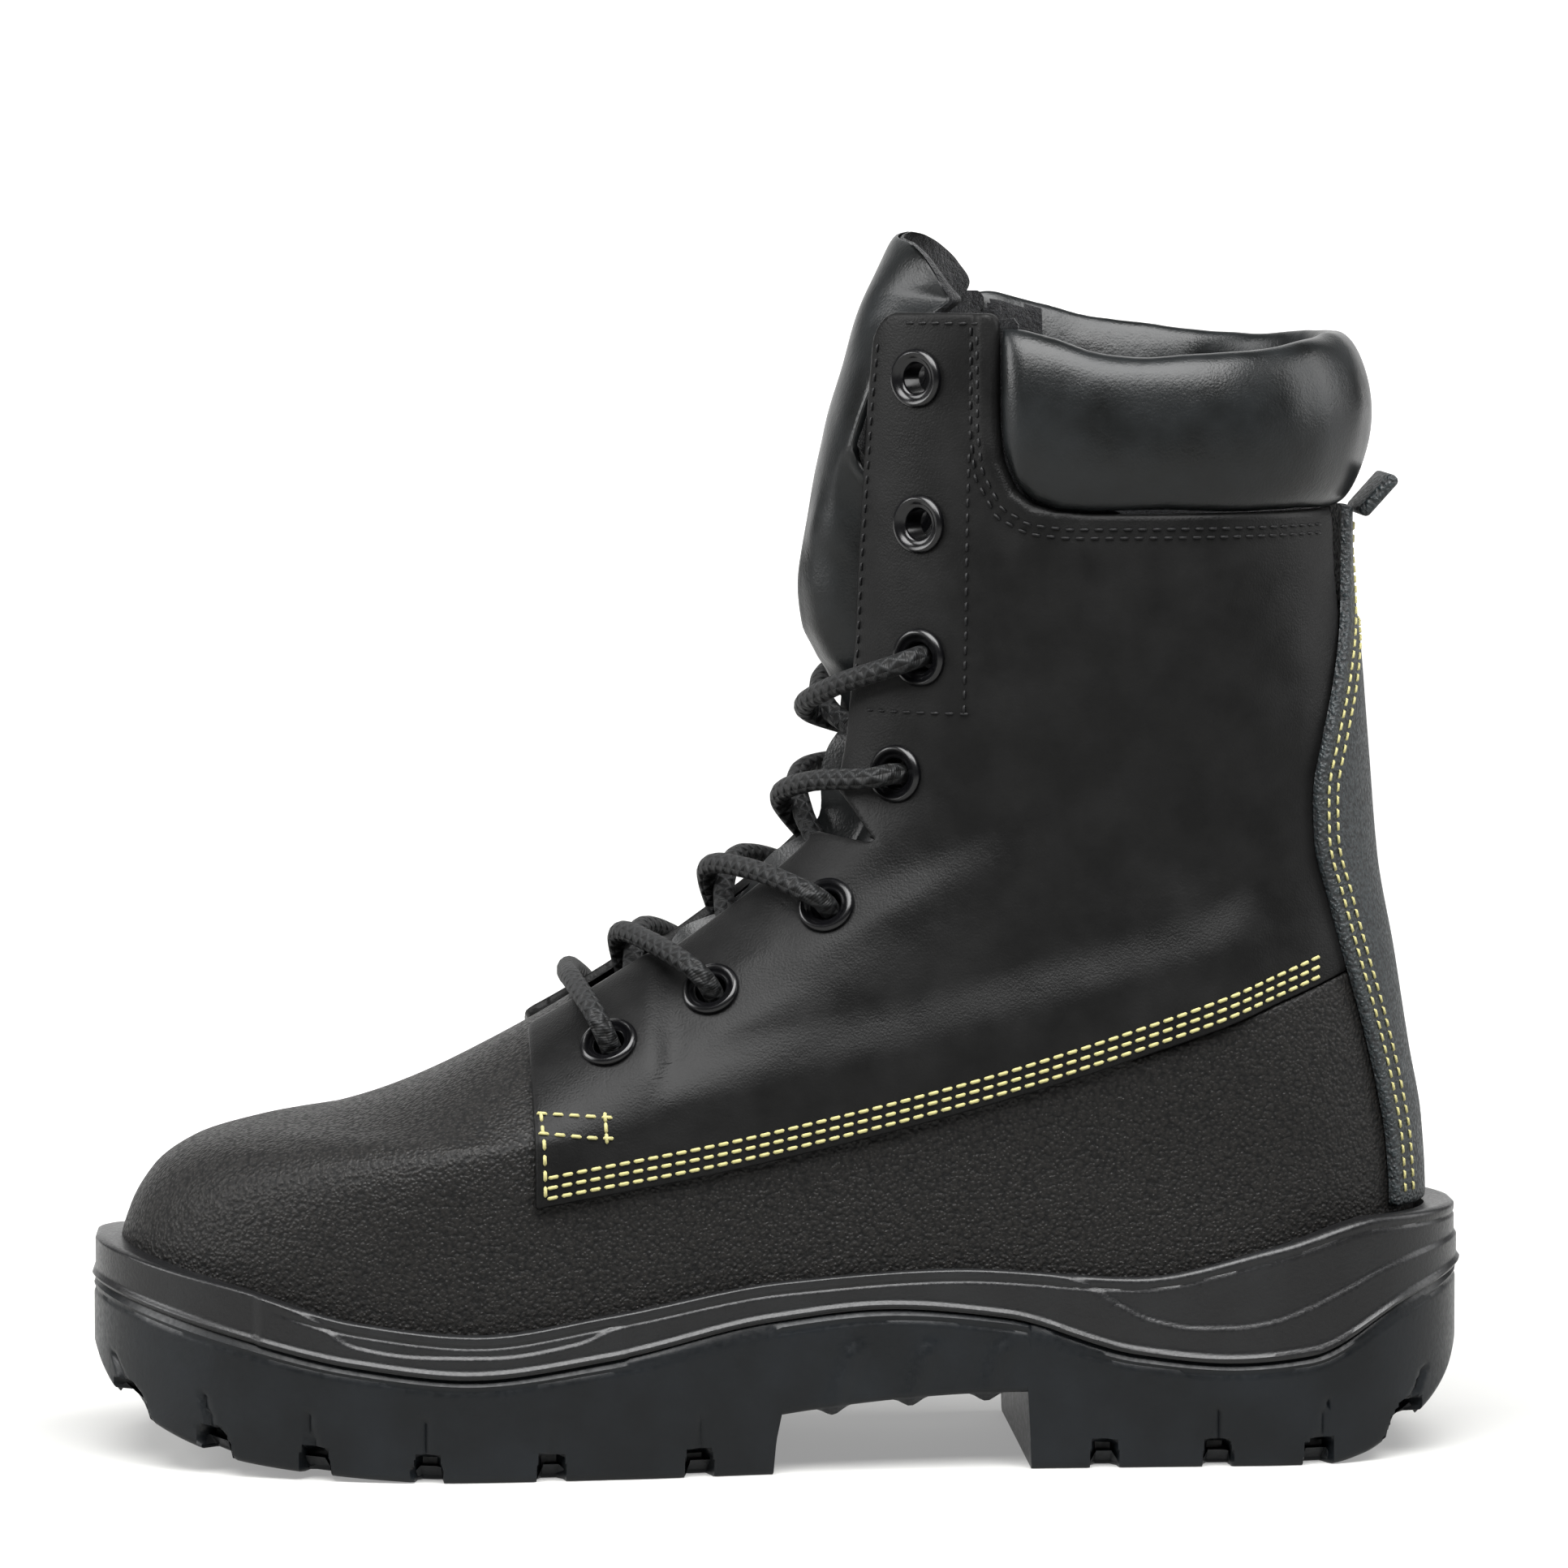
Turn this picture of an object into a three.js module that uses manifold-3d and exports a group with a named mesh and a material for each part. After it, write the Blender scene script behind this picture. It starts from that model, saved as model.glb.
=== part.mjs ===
// High-leg lace-up fire boot, left foot. Millimetres, +Z up.
// The toe points to -X, the lateral (outer) side faces -Y, and the origin lies on the
// ground under the middle of the sole.
import * as THREE from 'three';
import { mergeVertices } from 'three/addons/utils/BufferGeometryUtils.js';
import Module from 'manifold-3d';

// ---------------------------------------------------------------- driving dimensions
const soleLength = 310;          // heel to toe over the rubber
const soleSpread = 4.2;          // how far the sole stands out past the upper
const rubberWall = 6;            // rubber left round the foam core
const forefootHalfWidth = 51.5;  // upper at the ball of the foot
const waistHalfWidth = 41;       // upper at the instep
const heelHalfWidth = 37;        // upper at the heel
const ankleHalfWidth = 38.5;
const shaftHalfWidth = 48;       // top of the shaft
const toeRound = 66;             // length over which the front rounds off in plan
const heelRound = 50;            // length over which the back rounds off in plan
const topLine = 258;             // collar height above the ground at the front
const collarDip = 6;             // how far the collar's top edge dips in the middle
const leatherThickness = 2.2;
const seamGap = 0.3;             // clearance between pieces that touch
const overlap = 10;              // how far the vamp runs on under the quarters
const liningThickness = 1.6;
const capThickness = 1.8;        // toe cap and heel counter
const facingThickness = 1.5;
const throatHalfGap = 15;        // half the opening between the laced edges
const throatHalfGapTop = 24;     // the same at the top of the shaft
const collarCrown = 4.4;         // how far the collar swells out
const collarDepth = 7.5;         // how far the collar swells in
const boardThickness = 2.2;
const footbedThickness = 5;
const shankLength = 104;
const shankWidth = 22;
const shankThickness = 1.6;
const tongueThickness = 4.6;
const tongueClearance = 1.1;     // left between the tongue's face and the lace over it
const tongueHalfWidth = 24;
const laceDiameter = 4.8;
const tipLength = 22;
const eyeletFlange = 6.65;       // outer radius of the ring
const eyeletBore = 3.4;          // radius of the hole the lace runs through
const eyeletWall = 0.7;
const eyeletRise = 1.1;          // height of the ring over the leather
const washerRadius = 6;
const washerThickness = 0.8;
const tabLength = 10;            // heel pull tab
const tabThickness = 3;
const tabWidth = 24;
const tabAngle = 48;             // degrees up from level
const grooveDepth = 3.6;         // tread grooves
const recessDepth = 2.6;         // how far the lug recesses cut into the sole's side

// Lines and outlines are drawn for a sole 310 long and a shaft 258 tall. These two ratios
// carry every drawn x and z to the boot's own size, while thicknesses keep theirs.
const patternLength = 310;
const patternTop = 258;
const stretch = soleLength / patternLength;
const tall = topLine / patternTop;
const collarBottom = 214;        // drawn height of the seam under the padded collar
const collarFront = 47;          // drawn x of the padded collar's front end
const tongueJoint = 186;         // drawn height where the tongue folds over the top lace
const tongueTip = 274.5;

// centres of the eyelets in the drawn side view, from the collar down: [x, z]
const eyeletCentres = [[29.4, 243.5], [30, 211.1], [30.2, 181.3], [25.2, 155], [9.6, 125.8], [-16.3, 107.3],
  [-38.5, 94.2]];
const sideNames = { lateral: -1, medial: 1 };

// ---------------------------------------------------------------- curves
// Smooth rising-argument curve through a few points, without overshoot.
function curveThrough(points) {
  const n = points.length;
  const slope = [];
  for (let i = 0; i < n - 1; i += 1) {
    slope.push((points[i + 1][1] - points[i][1]) / (points[i + 1][0] - points[i][0]));
  }
  const tangent = points.map((_, i) => {
    if (i === 0) return slope[0];
    if (i === n - 1) return slope[n - 2];
    if (slope[i - 1] * slope[i] <= 0) return 0;
    return 2 * slope[i - 1] * slope[i] / (slope[i - 1] + slope[i]);
  });
  return (value) => {
    if (value <= points[0][0]) return points[0][1];
    if (value >= points[n - 1][0]) return points[n - 1][1];
    let i = 0;
    while (value > points[i + 1][0]) i += 1;
    const h = points[i + 1][0] - points[i][0];
    const t = (value - points[i][0]) / h;
    const a = (1 + 2 * t) * (1 - t) * (1 - t) * points[i][1] + t * (1 - t) * (1 - t) * h * tangent[i];
    return a + t * t * (3 - 2 * t) * points[i + 1][1] + t * t * (t - 1) * h * tangent[i + 1];
  };
}

function ease(low, high, value) {
  const t = Math.min(Math.max((value - low) / (high - low), 0), 1);
  return t * t * (3 - 2 * t);
}

// The last: where the leather's outer face lies, ring by ring from the sole to the collar.
const halfLength = patternLength / 2;
const frontEdge = curveThrough([[16, -146.5], [32, -148.5], [46, -149.3], [55, -147], [64, -141.5], [70, -133],
  [73.5, -121], [76.5, -104], [82, -87], [92, -66], [104, -45], [117.5, -25], [130.5, -8], [142, 4], [152, 9],
  [166, 12], [185, 13.5], [300, 13.5]]);
const backEdge = curveThrough([[16, 143], [40, 145.5], [57, 146], [74, 145], [90, 142.2], [112, 138.6],
  [134, 134.6], [157, 132.6], [179, 130.8], [201, 128.6], [213, 128.4], [235, 131], [258, 128.5], [300, 126]]);
const lowHalfWidth = curveThrough([[-150, forefootHalfWidth - 2], [-80, forefootHalfWidth], [-35, 46.5],
  [0, waistHalfWidth], [60, heelHalfWidth + 1], [150, heelHalfWidth]]);
const lowCentre = curveThrough([[-150, 5], [-110, 3.5], [-70, -0.5], [-20, -2], [50, 0], [150, 0]]);
const shaftWidth = curveThrough([[90, 41], [130, ankleHalfWidth], [150, ankleHalfWidth + 1.5],
  [170, 44], [205, shaftHalfWidth - 0.5], [250, shaftHalfWidth]]);

function roundOff(distance, length, power) {
  const t = Math.min(Math.max(distance / length, 0), 1);
  return (1 - (1 - t) ** power) ** (1 / power);
}

function lastPoint(side, x, z) {
  const blend = ease(62, 128, z);
  const half = lowHalfWidth(x) * (1 - blend) + shaftWidth(z) * blend;
  const centre = lowCentre(x) * (1 - blend);
  const front = roundOff(x - frontEdge(z), toeRound, 2.2);
  const back = roundOff(backEdge(z) - x, heelRound, 2.05);
  return new THREE.Vector3(x * stretch, centre + side * half * front * back, z * tall);
}

// side-view lines of the upper and the sole, as height over x
const platform = curveThrough([[-150, 41.5], [-140, 37.5], [-125, 34.2], [-96, 28.2], [-70, 25.6], [-40, 29.2],
  [-4, 36.6], [22, 39], [49, 38.4], [79, 38.6], [110, 39.5], [140, 41], [150, 43]]);
const featherLine = curveThrough([[-155, 49], [-141, 46], [-121, 41.9], [-96, 35.5], [-68, 32.8], [-40, 36.7],
  [0, 43.3], [38, 45.3], [79, 42.9], [110, 49.2], [137, 55.5], [155, 55.5]]);
const partingLine = curveThrough([[-155, 39.4], [-125, 31.7], [-96, 25.5], [-70, 23], [-40, 26.6], [-4, 34.1],
  [22, 36.5], [49, 34.1], [79, 25.5], [101, 23.3], [118, 24.7], [140, 35.9], [155, 41.5]]);
const treadLine = curveThrough([[-155, 24], [-153, 20], [-150, 16], [-141, 10], [-132, 6.3], [-121, 3.4],
  [-104, 1.5], [-88, 0.4], [-78, 0], [-3.01, 0], [-3, 0], [-2.4, 6], [-1, 13.3], [54.2, 17.3], [54.8, 6], [55, 0],
  [55.01, 0], [122, 0], [131, 2], [139, 6.5], [146, 11], [152, 17.5], [155, 24]]);
const rubberFloor = curveThrough([[-155, 29], [-140, 18], [-122, 11.5], [-90, 8], [-20, 9], [-7, 17.5], [0, 18.5],
  [54, 22], [60, 20], [68, 10], [125, 10], [140, 16], [155, 30]]);
const quarterHem = curveThrough([[-60, 59.7], [-54.5, 60.8], [-10, 68.6], [36, 79.3], [80, 92.6], [127, 109.8],
  [150, 119]]);
const backstayEdge = curveThrough([[40, 137.5], [56, 137.5], [70, 136.7], [83, 134.4], [98, 130.7], [114, 126],
  [127, 122.4], [140, 119.2], [150, 118.9], [162, 120.9], [175, 123.8], [190, 126], [214, 127]]);
const quarterFront = -56;
const collarTop = (x) => {
  const t = Math.min(Math.max((x - collarFront) / 80, 0), 1);
  return patternTop - collarDip / tall * Math.sin(Math.PI * t);
};

// ---------------------------------------------------------------- solids
const wasm = await Module();
wasm.setup();

function toSolid(geometry) {
  const bare = geometry.index ? geometry.clone() : geometry;
  bare.deleteAttribute('normal');
  bare.deleteAttribute('uv');
  const merged = mergeVertices(bare, 1e-4);
  return new wasm.Manifold(new wasm.Mesh({
    numProp: 3,
    vertProperties: new Float32Array(merged.attributes.position.array),
    triVerts: new Uint32Array(merged.index.array),
  }));
}

function toGeometry(solid) {
  const mesh = solid.getMesh();
  const geometry = new THREE.BufferGeometry();
  geometry.setAttribute('position', new THREE.BufferAttribute(mesh.vertProperties, 3));
  geometry.setIndex(new THREE.BufferAttribute(mesh.triVerts, 1));
  geometry.computeVertexNormals();
  return geometry;
}

// closed body from rows of points: every row is a ring, and both ends are filled with a fan
function ringBody(rows) {
  const count = rows[0].length;
  const positions = [];
  const index = [];
  rows.forEach((row) => row.forEach((p) => positions.push(p.x, p.y, p.z)));
  for (let r = 0; r < rows.length - 1; r += 1) {
    for (let i = 0; i < count; i += 1) {
      const a = r * count + i;
      const b = r * count + (i + 1) % count;
      index.push(a, b, b + count, a, b + count, a + count);
    }
  }
  [0, rows.length - 1].forEach((r) => {
    const middle = new THREE.Vector3();
    rows[r].forEach((p) => middle.addScaledVector(p, 1 / count));
    const centre = positions.length / 3;
    positions.push(middle.x, middle.y, middle.z);
    for (let i = 0; i < count; i += 1) {
      const a = r * count + i;
      const b = r * count + (i + 1) % count;
      if (r === 0) index.push(centre, b, a);
      else index.push(centre, a, b);
    }
  });
  const geometry = new THREE.BufferGeometry();
  geometry.setAttribute('position', new THREE.Float32BufferAttribute(positions, 3));
  geometry.setIndex(index);
  return toSolid(geometry);
}

// drawn side-view outline swept across the boot between two y values
function sidePrism(outline, yLow, yHigh) {
  const shape = new THREE.Shape(outline.map(([x, z]) => new THREE.Vector2(x * stretch, z * tall)));
  const geometry = new THREE.ExtrudeGeometry(shape, { depth: yHigh - yLow, bevelEnabled: false });
  geometry.rotateX(Math.PI / 2);
  geometry.translate(0, yHigh, 0);
  return toSolid(geometry);
}

// front-view outline (y, drawn z) swept along the boot between two drawn x values
function frontPrism(outline, xLow, xHigh) {
  const shape = new THREE.Shape(outline.map(([y, z]) => new THREE.Vector2(y, z * tall)));
  const depth = (xHigh - xLow) * stretch;
  const geometry = new THREE.ExtrudeGeometry(shape, { depth, bevelEnabled: false });
  geometry.applyMatrix4(new THREE.Matrix4().set(0, 0, 1, xLow * stretch, 1, 0, 0, 0, 0, 1, 0, 0, 0, 0, 0, 1));
  return toSolid(geometry);
}

// points of a height curve between two drawn x values, lifted by a real height
function along(curve, from, to, steps, lift = 0) {
  const points = [];
  for (let i = 0; i <= steps; i += 1) {
    const x = from + (to - from) * i / steps;
    points.push([x, curve(x) + lift / tall]);
  }
  return points;
}

// points of an edge given as x over height
function upEdge(curve, from, to, steps, shift = 0) {
  return along(curve, from, to, steps, shift).map(([z, x]) => [x, z]);
}

// ring grid of the last with its outward normals
const ringSteps = 14;
const levels = [16, 32, 46, 57, 66, 72, 76, 82, 90, 100, 111, 122, 132, 141, 151, 166, 188, 214, 232, 248, 266];
const grid = levels.map((z) => {
  const ring = [];
  for (let i = 0; i < 2 * ringSteps; i += 1) {
    const u = i <= ringSteps ? i / ringSteps : 2 - i / ringSteps;
    const x = frontEdge(z) + (backEdge(z) - frontEdge(z)) * (1 - Math.cos(Math.PI * u)) / 2;
    ring.push(lastPoint(i <= ringSteps ? -1 : 1, x, z));
  }
  return ring;
});
const gridNormals = grid.map((ring, r) => ring.map((_, i) => {
  const before = ring[(i + ring.length - 1) % ring.length];
  const after = ring[(i + 1) % ring.length];
  const below = grid[Math.max(r - 1, 0)][i];
  const above = grid[Math.min(r + 1, grid.length - 1)][i];
  return after.clone().sub(before).cross(above.clone().sub(below)).normalize();
}));

// the last grown or shrunk by an offset that may vary with the drawn x and z
function lastBody(offset, from = 0) {
  const rows = grid.slice(from).map((ring, r) => ring.map((p, i) => {
    const d = typeof offset === 'number' ? offset : offset(p.x / stretch, p.z / tall);
    return p.clone().addScaledVector(gridNormals[r + from][i], d);
  }));
  return ringBody(rows);
}

// ---------------------------------------------------------------- layers of the upper
const leatherInside = -leatherThickness;
const hidden = leatherInside - seamGap;
// how far the quarters are lifted over the vamp's hidden margin, from 0 to 1
function quarterLift(x, z) {
  const hem = 1 - ease(overlap + 6, overlap + 20, z - quarterHem(x));
  const front = 1 - ease(-30, -24, x);
  return Math.max(hem, front) * (1 - ease(98, 112, x));
}
const liftHeight = leatherThickness + seamGap;
// depths under the leather's face: eyelet ends, the lace over and under it, and the tongue
const seatDepth = 0.75;
const barrelRadius = eyeletBore + eyeletWall;
const washerTop = -(leatherThickness + seamGap + facingThickness + 1);
const eyeletEnd = washerTop - washerThickness - 0.2;
const laceRadius = laceDiameter / 2;
const overFace = eyeletRise + laceRadius + 1.2;    // lace centre over the leather
const underFace = eyeletEnd - laceRadius - 1.4;    // lace centre under the facing
const tongueDrop = laceRadius + tongueClearance - underFace;
const inCapZone = (x, z) => Math.max(
  1 - ease(-80, -62, x),
  ease(78, 90, x) * (1 - ease(112, 124, z)),
);
const liningFace = (x, z) => hidden - (capThickness + seamGap) * inCapZone(x, z);

const bodies = {
  outer: lastBody(0),
  leatherIn: lastBody(leatherInside),
  quarterOut: lastBody((x, z) => liftHeight * quarterLift(x, z)),
  quarterIn: lastBody((x, z) => liftHeight * quarterLift(x, z) - leatherThickness),
  capOut: lastBody(hidden),
  capIn: lastBody(hidden - capThickness),
  liningOut: lastBody(liningFace),
  liningIn: lastBody((x, z) => liningFace(x, z) - liningThickness),
  facingIn: lastBody(hidden - facingThickness),
  overOut: lastBody(liftHeight),
  overIn: lastBody(seamGap),
  cavity: lastBody(seamGap),
  boardEdge: lastBody((x, z) => liningFace(x, z) - liningThickness - seamGap),
};

const yFar = 75;
const topClear = 300;
function sides(outline) {
  return {
    lateral: sidePrism(outline, -yFar, -seamGap / 2),
    medial: sidePrism(outline, seamGap / 2, yFar),
  };
}

// the open throat: a slot as wide as the laced gap, widening up the shaft
const throat = frontPrism([[-throatHalfGap, 78], [throatHalfGap, 78], [throatHalfGap, 176],
  [throatHalfGapTop, patternTop], [throatHalfGapTop + 4, topClear], [-throatHalfGapTop - 4, topClear],
  [-throatHalfGapTop, patternTop], [-throatHalfGap, 176]], quarterFront - 2, 60);
const ankleNotch = sidePrism([[-20, 142], [8.7, 141.5], [21, 139.4], [12, 151.7], [-20, 160]], -yFar, yFar);
const bottom = along(platform, 165, -165, 15);

// lower edge of the padded collar's seat, from the front corner to the heel
const collarSeat = [[collarFront, patternTop + 20], [collarFront + 0.5, 229], [collarFront + 4, 219],
  [collarFront + 11, collarBottom + 1], [collarFront + 20, collarBottom], [165, collarBottom]];
const shifted = (outline, dx, dz) => outline.map(([x, z]) => [x + dx, z + dz]);

// vamp and lower side panel, one wrap-round piece
const vampMargin = (x) => quarterHem(x) + overlap - (overlap + seamGap + 0.1) * ease(64, 80, x);
const throatEdgeX = quarterFront + overlap;
const vampRegion = sidePrism([...bottom, [-165, 120], [throatEdgeX, 120],
  ...along(vampMargin, throatEdgeX, 165, 13)], -yFar, yFar);
const vamp = bodies.outer.subtract(bodies.leatherIn).intersect(vampRegion);

// quarters
const quarterOutline = [...along(quarterHem, quarterFront, 165, 11), [165, collarBottom - seamGap],
  ...shifted(collarSeat, -seamGap, -seamGap).reverse().slice(1, -1), [collarFront - seamGap, patternTop],
  [8, patternTop], [8, 172], [-20, 172], [quarterFront, 130]];
const quarterShell = bodies.quarterOut.subtract(bodies.quarterIn).subtract(throat).subtract(ankleNotch);
const quarterSides = sides(quarterOutline);

// backstay over the heel seam
const backstayBottom = (x) => featherLine(x) + seamGap + 0.1;
const backstayOutline = [...along(backstayBottom, 137.5, 165, 5), [165, collarBottom - seamGap],
  [backstayEdge(collarBottom), collarBottom - seamGap], ...upEdge(backstayEdge, 205, 60, 9)];
const backstay = bodies.overOut.subtract(bodies.overIn).intersect(sidePrism(backstayOutline, -yFar, yFar));

// toe cap and heel counter, between leather and lining
const capRegion = sidePrism([...along(platform, -92, -165, 10, 1), [-165, 120], [-92, 120]], -yFar, yFar);
const toeCap = bodies.capOut.subtract(bodies.capIn).intersect(capRegion);
const counterRegion = sidePrism([...along(platform, 165, 94, 6, 1), [94, 66], [100, 84], [112, 98], [128, 106],
  [165, 108]], -yFar, yFar);
const heelCounter = bodies.capOut.subtract(bodies.capIn).intersect(counterRegion);

// inner facings along the laced edge, and the lining behind them
const facingEdge = [[-51, 90], [-46, 82.5], [-36, 83], [-8, 97], [20, 117], [37, 142], [44, 160], [45.4, 190],
  [45.4, patternTop]];
const facingOutline = [...facingEdge, [8, patternTop], [8, 172], [-20, 172], [-51, 130]];
const facingShell = bodies.capOut.subtract(bodies.facingIn).subtract(throat).subtract(ankleNotch);
const facingSides = sides(facingOutline);
const liningRegion = sidePrism([...bottom, [-165, 120], [-51 - seamGap, 120],
  ...facingEdge.slice(0, -1).map(([x, z]) => [x < -40 ? x - seamGap - 0.1 : x + seamGap, z - seamGap]),
  [45.4 + seamGap, collarBottom + 5],
  [collarFront + 3, 218], [collarFront + 11, collarBottom - seamGap], [165, collarBottom - seamGap]], -yFar, yFar);
const lining = bodies.liningOut.subtract(bodies.liningIn).intersect(liningRegion);

// padded collar: it swells outwards and inwards between its seam and its top edge
const crown = (z) => Math.sqrt(Math.max(1 - ((z - 236) / 26) ** 2, 0));
const collarStart = levels.indexOf(188);
const collarOut = lastBody((x, z) => -leatherThickness + (leatherThickness + collarCrown) * crown(z), collarStart);
const collarIn = lastBody((x, z) => -leatherThickness - 1.2 - (collarDepth - 3.4) * crown(z), collarStart - 1);
const collarRegion = sidePrism([...collarSeat.slice(1), ...along(collarTop, 165, collarFront, 10)], -yFar, yFar);
const collar = collarOut.subtract(collarIn).intersect(collarRegion);

// ---------------------------------------------------------------- sole unit
// plan outline of the sole: y at a place along it
function soleEdge(side, x) {
  const half = lowHalfWidth(x) + soleSpread;
  const front = roundOff(x + halfLength + 0.3, toeRound + 5, 2.25);
  const back = roundOff(halfLength + 0.3 - x, heelRound, 2.15);
  return lowCentre(x) + side * half * front * back;
}

// body between two height curves inside the sole's outline
function soleLayer(stations, low, high, inset = 0) {
  const rows = stations.map((x) => {
    const lateral = soleEdge(-1, x) + inset;
    const medial = soleEdge(1, x) - inset;
    return [[lateral, low(x)], [medial, low(x)], [medial, high(x)], [lateral, high(x)]]
      .map(([y, z]) => new THREE.Vector3(x * stretch, y, z * tall));
  });
  return ringBody(rows);
}

const endStations = [-halfLength, -154.3, -152.5, -149, -144, -137, -128, -118, -106, -92, -76, -58, -40, -22,
  -3.01, -3, -2.4, -1, 12, 26, 40, 54.2, 54.8, 55, 55.01, 68, 82, 96, 110, 122, 131, 139, 146, 150.5, 153, 154.5,
  halfLength];
const midStations = endStations.filter((x) => x < -3.005 || (x > -1.5 && x < 54.5) || x > 55.005);

const shankCentre = 12;
const shankBox = (grow) => {
  const reach = (shankLength / 2 + grow) / stretch;
  const from = shankCentre - reach;
  const to = shankCentre + reach;
  const low = -shankThickness - 2 * seamGap - grow;
  const high = -2 * seamGap + grow * 4;
  const outline = [...along(platform, from, to, 8, low), ...along(platform, to, from, 8, high)];
  return sidePrism(outline, -shankWidth / 2 - grow, shankWidth / 2 + grow);
};
const footSpace = bodies.cavity.intersect(sidePrism([...along(platform, 165, -165, 15, -seamGap), [-165, 120],
  [165, 120]], -yFar, yFar));
const coreStations = midStations.filter((x) => Math.abs(x) < halfLength - rubberWall);
const midsole = soleLayer(midStations, (x) => partingLine(x) + seamGap / 2, featherLine)
  .add(soleLayer(coreStations, (x) => rubberFloor(x) + seamGap, (x) => partingLine(x) + 1, rubberWall + seamGap))
  .subtract(footSpace).subtract(shankBox(seamGap));

// lug positions along the sole, each as [x, lean in degrees, height reached up the side]
const lugGaps = [[-145.5, -22, 25], [-126.5, -14, 19], [-104.5, -8, 16], [-79.7, -4, 15], [-52.5, 0, 14],
  [-19.5, 0, 15], [71.5, 0, 14], [96.8, 3, 14], [119.5, 10, 15.5], [139.8, 24, 21]];
const grooveWidth = 6.4;
function lugRecess([x, lean, height], side) {
  const base = treadLine(x);
  const slope = Math.tan(lean * Math.PI / 180);
  const top = x + slope * (height - base);
  const outline = [[x - grooveWidth / 2, base - 3], [x + grooveWidth / 2, base - 3],
    [top + grooveWidth * 0.28, height], [top - grooveWidth * 0.28, height]];
  const edge = soleEdge(side, x);
  const inner = edge - side * (recessDepth + 1);
  return sidePrism(outline, Math.min(inner, side * yFar), Math.max(inner, side * yFar));
}
const foamSpace = soleLayer(midStations.filter((x) => Math.abs(x) < halfLength - rubberWall + 1), rubberFloor,
  (x) => partingLine(x) + 9, rubberWall);
let outsole = soleLayer(endStations, treadLine, (x) => partingLine(x) - seamGap / 2, 1).subtract(foamSpace);
lugGaps.forEach((gap) => {
  const base = treadLine(gap[0]);
  const half = grooveWidth / 2;
  const groove = [[gap[0] - half, base - 4], [gap[0] + half, base - 4], [gap[0] + half - 0.8, base + grooveDepth],
    [gap[0] - half + 0.8, base + grooveDepth]];
  outsole = outsole.subtract(sidePrism(groove, -yFar, yFar));
  [-1, 1].forEach((side) => {
    outsole = outsole.subtract(lugRecess(gap, side));
  });
});
// arch ribs under the waist
[10.5, 28, 45].forEach((x) => {
  const z = treadLine(x);
  const rib = sidePrism([[x - 2.5, z - 2], [x + 2.5, z - 2], [x + 3.5, z + 2], [x - 3.5, z + 2]],
    soleEdge(-1, x) + 3, soleEdge(1, x) - 3);
  outsole = outsole.add(rib);
});
// lengthwise groove between the lug rows of the forefoot and the heel
[[-120, -12], [64, 130]].forEach(([from, to]) => {
  const groove = [[from, -2], [to, -2], [to, grooveDepth - 1], [from, grooveDepth - 1]];
  outsole = outsole.subtract(sidePrism(groove, -2.2, 2.2));
});

const boardBand = (low, high, from, to) => sidePrism(
  [...along(platform, from, to, 15, low), ...along(platform, to, from, 15, high)], -yFar, yFar);
const insoleBoard = bodies.boardEdge.intersect(boardBand(0, boardThickness, -165, 165));
const footbed = bodies.boardEdge.intersect(
  boardBand(boardThickness + seamGap, boardThickness + seamGap + footbedThickness, -165, 165));

// ---------------------------------------------------------------- tongue
// laced part: under the vamp's throat edge it comes up to the lining, and at the top
// lace it comes forward between the facings
const tongueFace = (x, z) => {
  const rise = 1 - ease(-60, -53, x);
  const forward = ease(170, 184, z);
  return -(tongueDrop - (tongueDrop + hidden - liningThickness - 2 * seamGap) * rise - 7 * forward);
};
const tongueStart = levels.indexOf(72);
const tongueBand = lastBody(tongueFace, tongueStart)
  .subtract(lastBody((x, z) => tongueFace(x, z) - tongueThickness, tongueStart - 1));
const tongueWidthPrism = frontPrism([[-tongueHalfWidth, 60], [tongueHalfWidth, 60], [tongueHalfWidth, 150],
  [13, tongueJoint - 8], [13, tongueJoint - 0.4], [-13, tongueJoint - 0.4], [-13, tongueJoint - 8],
  [-tongueHalfWidth, 150]], -70, 70);
const tongueRegion = sidePrism([[-61, 79], [-50, 81], [0, 104], [24, 128], [33, 150], [33, 200], [-40, 200],
  [-61, 120]], -yFar, yFar);
const tongueBase = tongueBand.intersect(tongueWidthPrism).intersect(tongueRegion);

// closed sheet of even thickness from rows of face points with their backward directions
function sheetBody(rows) {
  const rings = rows.map((row) => {
    const back = row.map(({ point, inward }) => point.clone().addScaledVector(inward, tongueThickness));
    return [...row.map(({ point }) => point).reverse(), ...back];
  });
  return ringBody(rings);
}
const tongueFront = curveThrough([[tongueJoint, 19.2], [192, 13.5], [201, 8.6], [214, 8.2], [230, 11],
  [245, 15.5], [257, 18.6], [267, 23.2], [tongueTip, 27]]);
// above the facings the tongue spreads to its full width
const tongueTopHalf = curveThrough([[tongueJoint, 13], [214, 16.3], [250, 20.5], [patternTop + 1.5, 22],
  [patternTop + 3.5, 29], [patternTop + 8, 29.5], [270, 25], [tongueTip, 12]]);
const tongueTopRows = [tongueJoint + 0.4, 190, 195, 201, 208, 217, 230, 244, patternTop + 1.5, patternTop + 3.5,
  patternTop + 8, 270, tongueTip];
const tongueTop = sheetBody(tongueTopRows.map((z) => {
  const row = [];
  for (let i = -4; i <= 4; i += 1) {
    const y = tongueTopHalf(z) * i / 4;
    const wrap = y * y / 52;
    const tilt = y / 34;
    row.push({
      point: new THREE.Vector3(tongueFront(z) * stretch + wrap, y, z * tall),
      inward: new THREE.Vector3(Math.cos(tilt), -Math.sin(tilt) * 0.6, 0).normalize(),
    });
  }
  return row;
}));

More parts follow.
